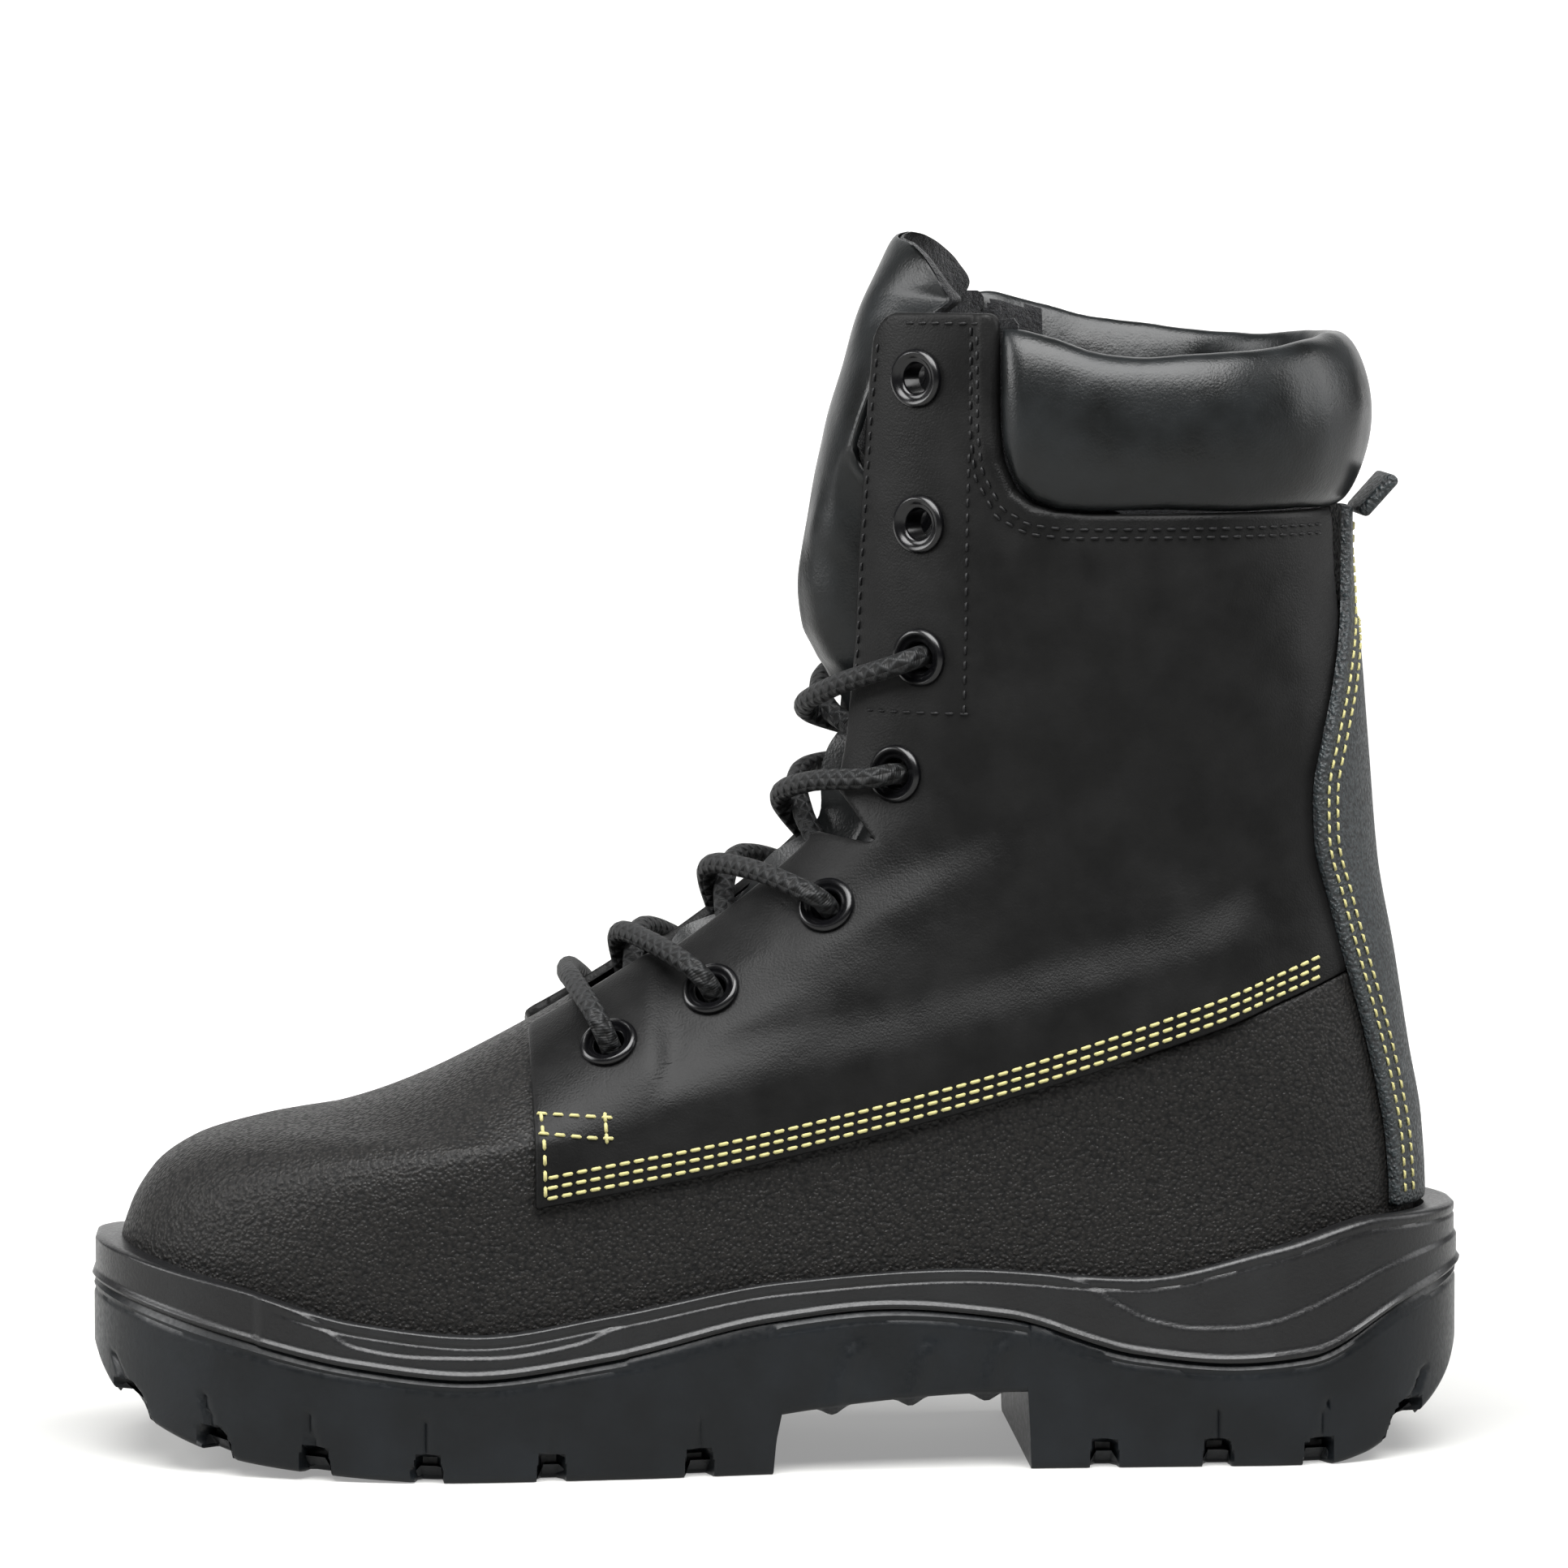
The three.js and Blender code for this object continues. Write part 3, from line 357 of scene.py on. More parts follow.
def panel(name, fieldOf, outer, inner, edgeDrop=0.55, edgeWidth=1.4, step=1):
    base, normal = net[::step, ::step], netNormal[::step, ::step]
    rows, columns = base.shape[:2]
    points, normals = base.reshape(-1, 3), normal.reshape(-1, 3)
    field = fieldOf(points, normals)
    tris = netTriangles(rows, columns)
    tris = tris[(field[tris] > -0.001).any(1)]
    values = np.column_stack([points, normals, field])
    for level in (0.0, edgeWidth * 0.3, edgeWidth):
        values, tris = cutAlong(values, tris, level)
    tris = tris[(values[tris, -1] >= -1e-6).all(1)]
    used, tris = np.unique(tris, return_inverse=True)
    tris = tris.reshape(-1, 3)
    values = values[used]
    base, normals, field = values[:, :3], unit(values[:, 3:6]), values[:, -1]
    t = 1 - np.clip(field / edgeWidth, 0, 1)
    drop = edgeDrop * (1 - np.sqrt(np.maximum(1 - t * t, 0)))
    out = base + normals * (outer(base, field) - drop)[:, None]
    back = base + normals * inner(base, field)[:, None]
    directed = np.concatenate([tris[:, [0, 1]], tris[:, [1, 2]], tris[:, [2, 0]]])
    size = len(base)
    keys = directed[:, 0] * size + directed[:, 1]
    a, b = directed[~np.isin(directed[:, 1] * size + directed[:, 0], keys)].T
    rim = np.stack([b, a, a + size, b + size], 1)
    faces = [*tris, *(tris[:, ::-1] + size), *rim]
    obj = makeObject(name, np.concatenate([out, back]), faces)
    tidyMesh(obj, 0.02)
    smoothShade(obj, 48)
    return obj


def within(outline):
    return lambda points, normals: outlineField(points, normals, outline)


def steady(depth):
    return lambda points, field: depth + 0 * field


# colours and shader nodes

def linear(code):
    parts = [int(code[i:i + 2], 16) / 255 for i in (1, 3, 5)]
    return tuple(c / 12.92 if c <= 0.04045 else ((c + 0.055) / 1.055) ** 2.4 for c in parts) + (1.0,)


def addNode(tree, kind, settings=None, inputs=None, links=None):
    node = tree.nodes.new(kind)
    for key, value in (settings or {}).items():
        setattr(node, key, value)
    for key, value in (inputs or {}).items():
        node.inputs[key].default_value = value
    for key, source in (links or {}).items():
        tree.links.new(source, node.inputs[key])
    return node


def newMaterial(name, color, roughness, shader=None):
    material = bpy.data.materials.new(name)
    material.use_nodes = True
    material.diffuse_color = linear(color)
    tree = material.node_tree
    tree.nodes.clear()
    settings = {"Base Color": linear(color), "Roughness": roughness, **(shader or {})}
    surface = addNode(tree, "ShaderNodeBsdfPrincipled", inputs=settings)
    addNode(tree, "ShaderNodeOutputMaterial", links={"Surface": surface.outputs[0]})
    return material, tree, surface


def objectPoint(tree):
    return addNode(tree, "ShaderNodeTexCoord").outputs["Object"]


def noise(tree, point, size, detail=3.0, rough=0.55):
    inputs = {"Scale": 1 / (size * mm), "Detail": detail, "Roughness": rough}
    return addNode(tree, "ShaderNodeTexNoise", inputs=inputs, links={"Vector": point}).outputs["Fac"]


def cells(tree, point, size, feature="SMOOTH_F1"):
    inputs = {"Scale": 1 / (size * mm)}
    node = addNode(tree, "ShaderNodeTexVoronoi", {"feature": feature}, inputs, {"Vector": point})
    return node.outputs["Distance"]


def remap(tree, value, low, high, toLow, toHigh):
    inputs = {"From Min": low, "From Max": high, "To Min": toLow, "To Max": toHigh}
    return addNode(tree, "ShaderNodeMapRange", None, inputs, {"Value": value}).outputs["Result"]


def mixColor(tree, amount, first, second):
    node = addNode(tree, "ShaderNodeMix", {"data_type": "RGBA"})
    tree.links.new(amount, node.inputs["Factor"])
    node.inputs["A"].default_value = linear(first)
    node.inputs["B"].default_value = linear(second)
    return node.outputs["Result"]


def bump(tree, height, depth, strength=1.0, under=None):
    links = {"Height": height}
    if under:
        links["Normal"] = under
    node = addNode(tree, "ShaderNodeBump", None, {"Distance": depth * mm, "Strength": strength}, links)
    return node.outputs["Normal"]


def feed(tree, surface, color=None, roughness=None, normal=None):
    for key, source in (("Base Color", color), ("Roughness", roughness), ("Normal", normal)):
        if source:
            tree.links.new(source, surface.inputs[key])


def mathNode(tree, operation, a, b=None):
    node = addNode(tree, "ShaderNodeMath", {"operation": operation})
    for socket, value in zip(node.inputs, (a, b)):
        if value is None:
            continue
        if isinstance(value, (int, float)):
            socket.default_value = value
        else:
            tree.links.new(value, socket)
    return node.outputs[0]


# in the grained looks the valley colour is painted shade laid into the pebble's recesses
looks = {
    "grained": {"color": "#171615", "shadedValley": "#070707", "roughness": 0.42, "pebble": 0.8, "depth": 0.17,
                "shine": 0.14},
    "smooth": {"color": "#0a0a0a", "worn": "#111111", "roughness": 0.42, "pore": 0.55, "depth": 0.03,
               "shine": 0.1},
    "padded": {"color": "#090a0a", "worn": "#101213", "roughness": 0.31, "pore": 0.7, "depth": 0.02,
               "shine": 0.23},
    "strap": {"color": "#1a2022", "shadedValley": "#0b0d0f", "roughness": 0.46, "pebble": 0.8, "depth": 0.26,
              "shine": 0.36},
    "rubber": {"color": "#07090b", "worn": "#0e1114", "roughness": 0.38, "pore": 1.2, "depth": 0.03,
               "shine": 0.22},
    "foam": {"color": "#0a0a0b", "worn": "#111213", "roughness": 0.36, "pore": 0.8, "depth": 0.04,
             "shine": 0.3},
}


def startLook(name, look):
    shine = {"Specular IOR Level": look["shine"]}
    material, tree, surface = newMaterial(name, look["color"], look["roughness"], shine)
    return material, tree, surface, objectPoint(tree)


# full-grain cowhide with an embossed pebble, its valleys painted darker as painted shade
def grainedLeather(name, look):
    material, tree, surface, point = startLook(name, look)
    wander = addNode(tree, "ShaderNodeTexNoise", None, {"Scale": 1 / (1.7 * mm), "Detail": 2.0},
                     {"Vector": point}).outputs["Color"]
    shift = addNode(tree, "ShaderNodeVectorMath", {"operation": "MULTIPLY_ADD"}, None,
                    {0: wander, 2: point})
    shift.inputs[1].default_value = (0.7 * mm, 0.7 * mm, 0.7 * mm)
    pebble = cells(tree, shift.outputs[0], look["pebble"])
    # mask of the pebble's valleys: painted shade darkens the colour there, and the leather is rougher
    shadedValley = remap(tree, pebble, 0.25, 0.62, 0, 1)
    fine = noise(tree, point, 0.3, 2.0)
    broad = noise(tree, point, 30, 2.0)
    base = look["roughness"]
    polish = remap(tree, shadedValley, 0, 1, base - 0.06, base + 0.16)
    polish = mathNode(tree, "ADD", polish, remap(tree, broad, 0.3, 0.7, 0, 0.06))
    sunk, grit = mathNode(tree, "MULTIPLY", pebble, -1.0), mathNode(tree, "MULTIPLY", fine, 0.25)
    height = mathNode(tree, "ADD", sunk, grit)
    # colour runs from the leather's own colour on the pebble tops to painted shade in the valleys
    feed(tree, surface, mixColor(tree, shadedValley, look["color"], look["shadedValley"]), polish,
         bump(tree, height, look["depth"] * 2.2))
    return material


# smooth cowhide and soft nappa, with fine pores and broad creases
def finishedLeather(name, look):
    material, tree, surface, point = startLook(name, look)
    pore = cells(tree, point, look["pore"], "F1")
    broad = noise(tree, point, 14, 3.0)
    fine = noise(tree, point, 0.45, 3.0)
    mottle = remap(tree, broad, 0.35, 0.7, 0, 1)
    base = look["roughness"]
    polish = remap(tree, broad, 0.3, 0.7, base - 0.05, base + 0.06)
    height = mathNode(tree, "ADD", mathNode(tree, "MULTIPLY", pore, -0.6), fine)
    crease = noise(tree, point, 7, 4.0, 0.6)
    low = bump(tree, crease, 0.22, 0.6)
    feed(tree, surface, mixColor(tree, mottle, look["color"], look["worn"]), polish,
         bump(tree, height, look["depth"] * 2.2, 1.0, low))
    return material


# moulded nitrile rubber and polyurethane foam
def moulded(name, look):
    material, tree, surface, point = startLook(name, look)
    broad = noise(tree, point, 22, 3.0)
    fine = noise(tree, point, look["pore"], 4.0)
    dust = remap(tree, broad, 0.4, 0.72, 0, 1)
    base = look["roughness"]
    polish = remap(tree, fine, 0.3, 0.7, base - 0.06, base + 0.08)
    feed(tree, surface, mixColor(tree, dust, look["color"], look["worn"]), polish,
         bump(tree, fine, look["depth"] * 2))
    return material


# brushed polyester lining felt
def felt(name="liningFelt", color="#0a0a0b", tip="#191a1c"):
    material, tree, surface = newMaterial(name, color, 0.95, {"Sheen Weight": 0.12, "Sheen Roughness": 0.4,
                                                                  "Specular IOR Level": 0.1})
    point = objectPoint(tree)
    fluff = noise(tree, point, 0.7, 5.0, 0.7)
    tuft = noise(tree, point, 3.0, 4.0, 0.65)
    amount = remap(tree, fluff, 0.4, 0.7, 0, 1)
    height = mathNode(tree, "ADD", fluff, mathNode(tree, "MULTIPLY", tuft, 1.6))
    feed(tree, surface, mixColor(tree, amount, color, tip), normal=bump(tree, height, 0.9))
    return material


# round braided polyester cord
def braid():
    material, tree, surface = newMaterial("laceBraid", "#0a0a0b", 0.6, {"Specular IOR Level": 0.25})
    uv = addNode(tree, "ShaderNodeUVMap", {"uv_map": "braid"}).outputs["UV"]
    split = addNode(tree, "ShaderNodeSeparateXYZ", None, None, {"Vector": uv})
    along, around = split.outputs["X"], split.outputs["Y"]
    waves = []
    for turn in (1, -1):
        phase = mathNode(tree, "ADD", mathNode(tree, "MULTIPLY", along, 2 * math.pi),
                         mathNode(tree, "MULTIPLY", around, 2 * math.pi * 4 * turn))
        waves.append(mathNode(tree, "SINE", phase))
    height = mathNode(tree, "MAXIMUM", waves[0], waves[1])
    yarn = mathNode(tree, "SINE", mathNode(tree, "MULTIPLY", mathNode(tree, "ADD", along, around), 44.0))
    both = mathNode(tree, "ADD", height, mathNode(tree, "MULTIPLY", yarn, 0.12))
    # painted shade: the cord is coloured darker in the dips between strands than on the raised strands
    amount = remap(tree, height, -0.6, 1, 0, 1)
    feed(tree, surface, mixColor(tree, amount, "#040404", "#0e0f10"), normal=bump(tree, both, 0.32))
    return material


def plainMaterial(name, color, roughness, shader=None, size=1.0, depth=0.02):
    material, tree, surface = newMaterial(name, color, roughness, shader)
    fine = noise(tree, objectPoint(tree), size, 3.0)
    polish = remap(tree, fine, 0.3, 0.7, roughness * 0.9, roughness * 1.1)
    feed(tree, surface, roughness=polish, normal=bump(tree, fine, depth))
    return material


materials = {
    "vamp": grainedLeather("grainedCowhide", looks["grained"]),
    "quarter": finishedLeather("smoothCowhide", looks["smooth"]),
    "collar": finishedLeather("softNappa", looks["padded"]),
    "strap": grainedLeather("texturedStrapLeather", looks["strap"]),
    "rubber": moulded("nitrileRubber", looks["rubber"]),
    "foam": moulded("polyurethaneFoam", looks["foam"]),
    "felt": felt(),
    "braid": braid(),
    "thread": plainMaterial("waxedThread", "#060607", 0.5, {"Specular IOR Level": 0.2}, 0.3, 0.05),
    "yellowThread": plainMaterial("yellowThread", "#8f8a5e", 0.55, {"Specular IOR Level": 0.2}, 0.3, 0.05),
    "enamel": plainMaterial("blackEnamel", "#040405", 0.24, {"Specular IOR Level": 0.32}, 6, 0.004),
    "steel": plainMaterial("stampedSteel", "#8d9196", 0.35, {"Metallic": 1.0}, 2, 0.01),
    "fibre": plainMaterial("fibreBoard", "#6b6a62", 0.65, None, 1.5, 0.05),
    "board": plainMaterial("insoleBoard", "#8f8672", 0.8, None, 1.2, 0.05),
    "footbed": felt("footbedTextile", "#1d1e20", "#2c2e31"),
    "tip": plainMaterial("celluloidTip", "#101012", 0.3, None, 4, 0.005),
}


def finishPiece(obj, material, body="boot", replaced=()):
    obj.data.materials.clear()
    obj.data.materials.append(materials[material])
    if replaced:
        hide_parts(*replaced)
    if body:
        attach(obj, body)
    return obj


def dense(curve, start, end, count=90, lift=0.0):
    xs = np.linspace(start, end, count)
    return [[x, z] for x, z in zip(xs, curve(xs) + lift)]


# vamp: grained leather from the sole up to the quarters' hem

vampSet = {"margin": 10, "ripple": 0.35, "bend": 0.5, "thickness": 2.2}


def vampTop(x):
    return quarterHem(x) + vampSet["margin"] - (vampSet["margin"] + 0.4) * ease(64, 80, x)


vampOutline = [*dense(platform, 165, -165), [-165, 120], [-46, 120], *dense(vampTop, -46, 165)]


def vampOuter(p, field):
    ripple = softNoise(p, 24, 1) * 0.6 + softNoise(p, 11, 2) * 0.3
    bend = bell(p[:, 0] + 78 - (p[:, 2] - 70) * 0.35, 5) * ease(55, 72, p[:, 2]) * vampSet["bend"]
    under = ease(0, 4, p[:, 2] - quarterHem(p[:, 0]))
    return vampSet["ripple"] * ripple * (1 - under) - bend * (1 - under) - 0.12


vamp = panel("vampLeather", within(vampOutline), vampOuter, steady(-vampSet["thickness"]), 0.5)
finishPiece(vamp, "vamp", replaced=["vamp"])
print("vamp", len(vamp.data.polygons))

# quarters: smooth leather sides with the eyelet rows

quarterSet = {"thickness": 2.2, "ripple": 0.3, "rollHeight": 1.5, "rollWidth": 5.2, "cornerRadius": 7.5,
              "hole": 4.4,
              "folds": [[-2, 118, 34, 138, 0.35, 3.5], [14, 128, 58, 150, 0.38, 4.5],
                        [-30, 96, 2, 112, 0.25, 3], [60, 128, 104, 140, 0.28, 6],
                        [58, 168, 96, 158, 0.22, 6]]}
quarterOutline = [*dense(quarterHem, -56, 165), [165, 213.7], *[[x - 0.3, z - 0.3] for x, z in
                  reversed(collarSeat[:-1])][:-1], [46.7, 262], [8, 262], [8, 172], [-20, 172], [-56, 130]]


def segmentDistance(p, x0, z0, x1, z1):
    a, b = np.array([x0, z0]), np.array([x1, z1])
    q = p[:, [0, 2]]
    t = np.clip((q - a) @ (b - a) / ((b - a) @ (b - a)), 0, 1)
    gap = q - a - t[:, None] * (b - a)
    return np.hypot(gap[:, 0], gap[:, 1]), t


def collarSeatDistance(p):
    best = np.full(len(p), 99.0)
    for (x0, z0), (x1, z1) in zip(collarSeat, collarSeat[1:]):
        d, _ = segmentDistance(p, x0, z0, x1, z1)
        best = np.minimum(best, d)
    return best


def quarterOuter(p, field):
    x, z = p[:, 0], p[:, 2]
    out = shape["lift"] * quarterLift(x, z)
    out = out + quarterSet["ripple"] * (softNoise(p, 26, 3) * 0.6 + softNoise(p, 12, 4) * 0.4)
    for x0, z0, x1, z1, depth, width in quarterSet["folds"]:
        d, t = segmentDistance(p, x0, z0, x1, z1)
        fade = np.sin(np.pi * np.clip(t, 0, 1)) ** 0.7
        out = out - depth * fade * bell(d, width) + depth * 0.7 * fade * bell(d - width * 1.9, width * 0.9)
    roll = np.clip((collarSeatDistance(p) - 0.4) / quarterSet["rollWidth"], 0, 1)
    front = 1 - ease(50, 62, x)
    out = out + quarterSet["rollHeight"] * np.sin(np.pi * roll) ** 0.7 * front
    edge = 1 - np.clip(np.abs(field - 0.4) / 3, 0, 1)
    return np.maximum(out - 0.1 * edge, shape["lift"] * quarterLift(x, z) - 0.9)


def quarterInner(p, field):
    return shape["lift"] * quarterLift(p[:, 0], p[:, 2]) - quarterSet["thickness"]


eyeletFrames = {}
for sideName, side in bothSides:
    rows = []
    for x, z in eyeletCentres:
        place, axis = surfaceFrame(side, np.array(x), np.array(z))
        lift = float(shape["lift"] * quarterLift(np.array(x), np.array(z)))
        rows.append({"place": place + axis * lift, "axis": axis, "lift": lift, "on": place})
    eyeletFrames[sideName] = rows


def holesField(p, side, radius):
    best = np.full(len(p), 99.0)
    for item in eyeletFrames["lateral" if side < 0 else "medial"]:
        d = np.linalg.norm(p - item["on"], axis=1) - radius
        best = np.minimum(best, d)
    return best


def throatField(points, normals):
    tilt = np.abs(normals[:, 1])
    return (np.abs(points[:, 1]) - throatGap(points[:, 2])) / np.sqrt(np.maximum(1 - tilt ** 2, 0.1))


def quarterField(side):
    def field(points, normals):
        body = outlineField(points, normals, quarterOutline)
        edge = throatField(points, normals)
        edge = np.where((points[:, 2] < 79) | (points[:, 0] < -58), 50, edge)
        top = shape["topLine"] - points[:, 2]
        notch = -outlineField(points, normals, notchOutline)
        corner = roundMin(edge, top, quarterSet["cornerRadius"])
        whole = roundMin(roundMin(body, corner, 2.5), notch, 1.5)
        whole = np.minimum(whole, holesField(points, side, quarterSet["hole"]))
        across = side * points[:, 1]
        return np.where(across > -3, np.minimum(whole, across - 0.15), -9)
    return field


for sideName, side in bothSides:
    quarter = panel("quarterLeather_" + sideName, quarterField(side), quarterOuter, quarterInner, 0.6)
    finishPiece(quarter, "quarter", replaced=["quarter_" + sideName])
    print(quarter.name, len(quarter.data.polygons))

# backstay over the heel seam

backstaySet = {"low": 0.3, "high": 2.5}
zs = np.linspace(214, 60, 60)
backstayOutline = [*dense(lambda x: featherLine(x) + 0.4, 137.5, 165, 30), [165, 213.7],
                   [127, 213.7], *[[x, z] for x, z in zip(backstayEdge(zs), zs) if z < 213]]
backstay = panel("backstayStrap", within(backstayOutline),
                 lambda p, f: backstaySet["high"] + 0.15 * softNoise(p, 18, 5),
                 steady(backstaySet["low"]), 0.8)
finishPiece(backstay, "strap", replaced=["backstay"])

# facings inside the laced edges, and the lining

innerSet = {"facing": (-2.5, -4.0), "lining": (-2.5, -4.1), "capRoom": 2.1, "farRise": 3.8, "hole": 4.6}


def facingField(side):
    rise = innerSet["farRise"] if side > 0 else 0
    back = [[45.4, 254], [49, 258], [49, 262 + rise]] if side > 0 else [[45.4, 262]]
    outline = [*facingEdge, *back, [8, 262 + rise], [8, 172], [-20, 172], [-51, 130]]

    def field(points, normals):
        body = outlineField(points, normals, outline)
        edge = throatField(points, normals)
        edge = np.where(points[:, 2] < 79, 50, edge)
        top = shape["topLine"] + rise - points[:, 2]
        notch = -outlineField(points, normals, notchOutline)
        whole = np.minimum(roundMin(body, roundMin(edge, top, 7), 2), notch)
        whole = np.minimum(whole, holesField(points, side, innerSet["hole"]))
        return np.where(side * points[:, 1] > 0, whole, -9)
    return field


for sideName, side in bothSides:
    facing = panel("facingStrip_" + sideName, facingField(side), steady(innerSet["facing"][0]),
                   lambda p, f: innerSet["facing"][1] - 0.2 * softNoise(p, 5, 6), 0.3)
    finishPiece(facing, "felt", replaced=["facing_" + sideName])

liningOutline = [*dense(platform, 165, -165), [-165, 120], [-51.3, 120],
                 *[[x - 0.4 if x < -40 else x + 0.3, z - 0.3] for x, z in facingEdge[:-1]],
                 [45.7, 219], [45.7, 257], [50.5, 257], [53, 229], [62, 220], [74, 213.7], [165, 213.7]]
def liningDepth(depth):
    return lambda p, f: depth - innerSet["capRoom"] * capZone(p[:, 0], p[:, 2])


liningPiece = panel("liningCloth", within(liningOutline), *map(liningDepth, innerSet["lining"]), 0.2, 1.4, 2)
finishPiece(liningPiece, "felt", replaced=["lining"])
print("backstay, facings, lining")

# padded collar: sections swept round the top of the shaft

collarSet = {"slant": 2.2, "backDrop": 4.4, "saddle": 1.8, "farRise": 2.4, "out": 4.2, "in": 7.2,
             "columns": 300, "ring": 56, "wrinkle": 0.35, "pressure": 3.0, "cap": 1.6, "feltFront": 64,
             "start": 47.4, "height": 236.0, "spine": 2.8, "voxel": 4, "frames": 20}


def collarBody():
    columns, ring = collarSet["columns"], collarSet["ring"]
    fine = np.linspace(0, 1, 3000)
    start, height = collarSet["start"], collarSet["height"]
    front, behind = frontEdge(height), backEdge(height)
    x = start + (behind - 0.02 - start) * np.sin(np.pi / 2 * fine)
    line = lastPoint(-1, x, height)
    walk = walked(line)
    half = columns // 2
    at = np.interp(np.linspace(0, walk[-1], half), walk, x)
    share = (at - front) / (behind - front)
    seat = np.array(collarSeat, float)
    spine = collarSet["spine"]
    vertices = []
    for side in (-1, 1):
        for k in range(half):
            x0 = at[k]
            low = np.interp(x0, seat[1:, 0], seat[1:, 1]) + 0.2
            high = float(collarTop(x0)) + side * collarSet["slant"] * (1 - float(ease(85, 130, x0)))
            high -= collarSet["backDrop"] * float(ease(84, 128, x0))
            if side < 0:
                high -= collarSet["saddle"] * float(bell(x0 - 72, 13))
            else:
                high += collarSet["farRise"] * (1 - float(ease(58, 100, x0)))
            end = float(roundOff(np.array(k * walk[-1] / half + 0.4), 7.0, 2.0))
            middle, tall = (low + high) / 2, (high - low) / 2
            tall = tall * (0.86 + 0.14 * end)
            for i in range(ring):
                turn = 2 * np.pi * i / ring
                c, s = np.cos(turn), np.sin(turn)
                rise = np.sign(s) * abs(s) ** 0.95
                swell = np.sign(c) * abs(c) ** 0.82
                z = middle + tall * rise
                toBack = float(ease(92, 124, x0))
                across = frontEdge(z) + share[k] * (backEdge(z) - frontEdge(z))
                x = min(x0 * (1 - toBack) + across * toBack, backEdge(z) - 0.02)
                axis = surfaceFrame(side, np.array(min(x, backEdge(z) - 0.6)), np.array(z))[1]
                place = lastPoint(side, np.array(x), np.array(z))
                reach = collarSet["out"] + spine if c > 0 else collarSet["in"] - spine
                depth = reach * swell * end - spine
                vertices.append(place + axis * depth)
    near, far = np.array(vertices).reshape(2, half, ring, 3)
    return np.concatenate([near, far[::-1]])


collarRows = collarBody()
count, ring = collarRows.shape[:2]
flat = collarRows.reshape(-1, 3)
wrinkle = softNoise(flat * np.array([1, 1, 0.45]), 7, 8) * 0.6 + softNoise(flat, 16, 9) * 0.6
centre = collarRows.mean(axis=1, keepdims=True)
outward = unit(collarRows - centre).reshape(-1, 3)
flat = flat + outward * (wrinkle * collarSet["wrinkle"])[:, None]
collar = makeObject("collarPad", flat, sweepFaces(count, ring), 0.15)
smoothShade(collar, 60)


def puff(obj, pressure, cap):
    rest = np.array([v.co for v in obj.data.vertices], float)
    body = obj.copy()
    body.data = obj.data.copy()
    linked(body)
    alone(body)
    remesh = body.modifiers.new("remesh", "REMESH")
    remesh.mode = "VOXEL"
    remesh.voxel_size = collarSet["voxel"] * mm
    bpy.ops.object.modifier_apply(modifier="remesh")
    before = np.array([v.co for v in body.data.vertices], float)
    cloth = body.modifiers.new("cloth", "CLOTH")
    cloth.settings.use_pressure = True
    cloth.settings.uniform_pressure_force = pressure
    cloth.settings.quality = 5
    cloth.settings.tension_stiffness = 40
    cloth.settings.bending_stiffness = 1.5
    cloth.settings.effector_weights.gravity = 0
    cloth.point_cache.frame_start = 1
    cloth.point_cache.frame_end = collarSet["frames"]
    for f in range(1, collarSet["frames"] + 1):
        bpy.context.scene.frame_set(f)
    ready = body.evaluated_get(bpy.context.evaluated_depsgraph_get())
    after = np.array([v.co for v in ready.data.vertices], float)
    bpy.context.scene.frame_set(1)
    shift = after - before
    length = np.linalg.norm(shift, axis=1, keepdims=True)
    shift *= np.minimum(1, cap * mm / np.maximum(length, 1e-9))
    tree = kdtree.KDTree(len(before))
    for i, p in enumerate(before):
        tree.insert(p, i)
    tree.balance()
    moved = rest.copy()
    for i, p in enumerate(rest):
        total, weight = np.zeros(3), 0.0
        for _, j, d in tree.find_n(p, 5):
            w = 1 / (d + 0.5 * mm)
            total += shift[j] * w
            weight += w
        moved[i] += total / weight
    obj.data.vertices.foreach_set("co", moved.ravel())
    obj.data.update()
    bpy.data.objects.remove(body)


puff(collar, collarSet["pressure"], collarSet["cap"])
finishPiece(collar, "collar", replaced=["collar"])
collar.data.materials.append(materials["felt"])
for face in collar.data.polygons:
    place = face.center / mm
    surfaceY = float(abs(lastPoint(-1, place[0], place[2])[1]))
    if place[0] < collarSet["feltFront"] and abs(place[1]) < surfaceY - 4:
        face.material_index = 1
print("collar", len(collar.data.polygons))

# tongue: a leather face and a felt lining, each swept as one piece from the laced part up to the top

tongueSet = {"drop": 13.3, "thickness": 4.6, "face": 2.6, "pillow": 3.6, "tilt": 0.13, "point": 0.3,
             "tip": 274.4, "foot": 95.5}
crossings = [(2, 167), (3, 144.5), (4, 127), (5, 112)]
tongueFront = curveThrough([[166, 14.5], [172, 12.8], [176, 11.6], [181, 9.2], [187, 6.4], [195, 5.5],
                            [204, 6.4], [214, 8.1], [230, 11.3], [245, 15.5], [257, 18.8], [267, 23.2],
                            [274.5, 27]])
tongueTopHalf = curveThrough([[186, 13], [214, 16.3], [250, 20.5], [258.6, 21.9], [262, 22.5], [266, 22],
                              [270, 19.5], [273, 14], [274.5, 7]])
tongueWrap = curveThrough([[186, 3.3], [214, 5.1], [245, 7.8], [252, 11.5], [258, 19], [262, 21.5],
                           [266, 17.5], [270, 12], [273, 6.5], [274.5, 2.5]])
tongueWing = curveThrough([[170, 26], [178, 24], [186, 20.5], [200, 16.5], [214, 13.5], [230, 15.5]])
tongueRidge = curveThrough([[100, 0], [118, 8], [172, 8.6], [180, 3], [186, 0]])


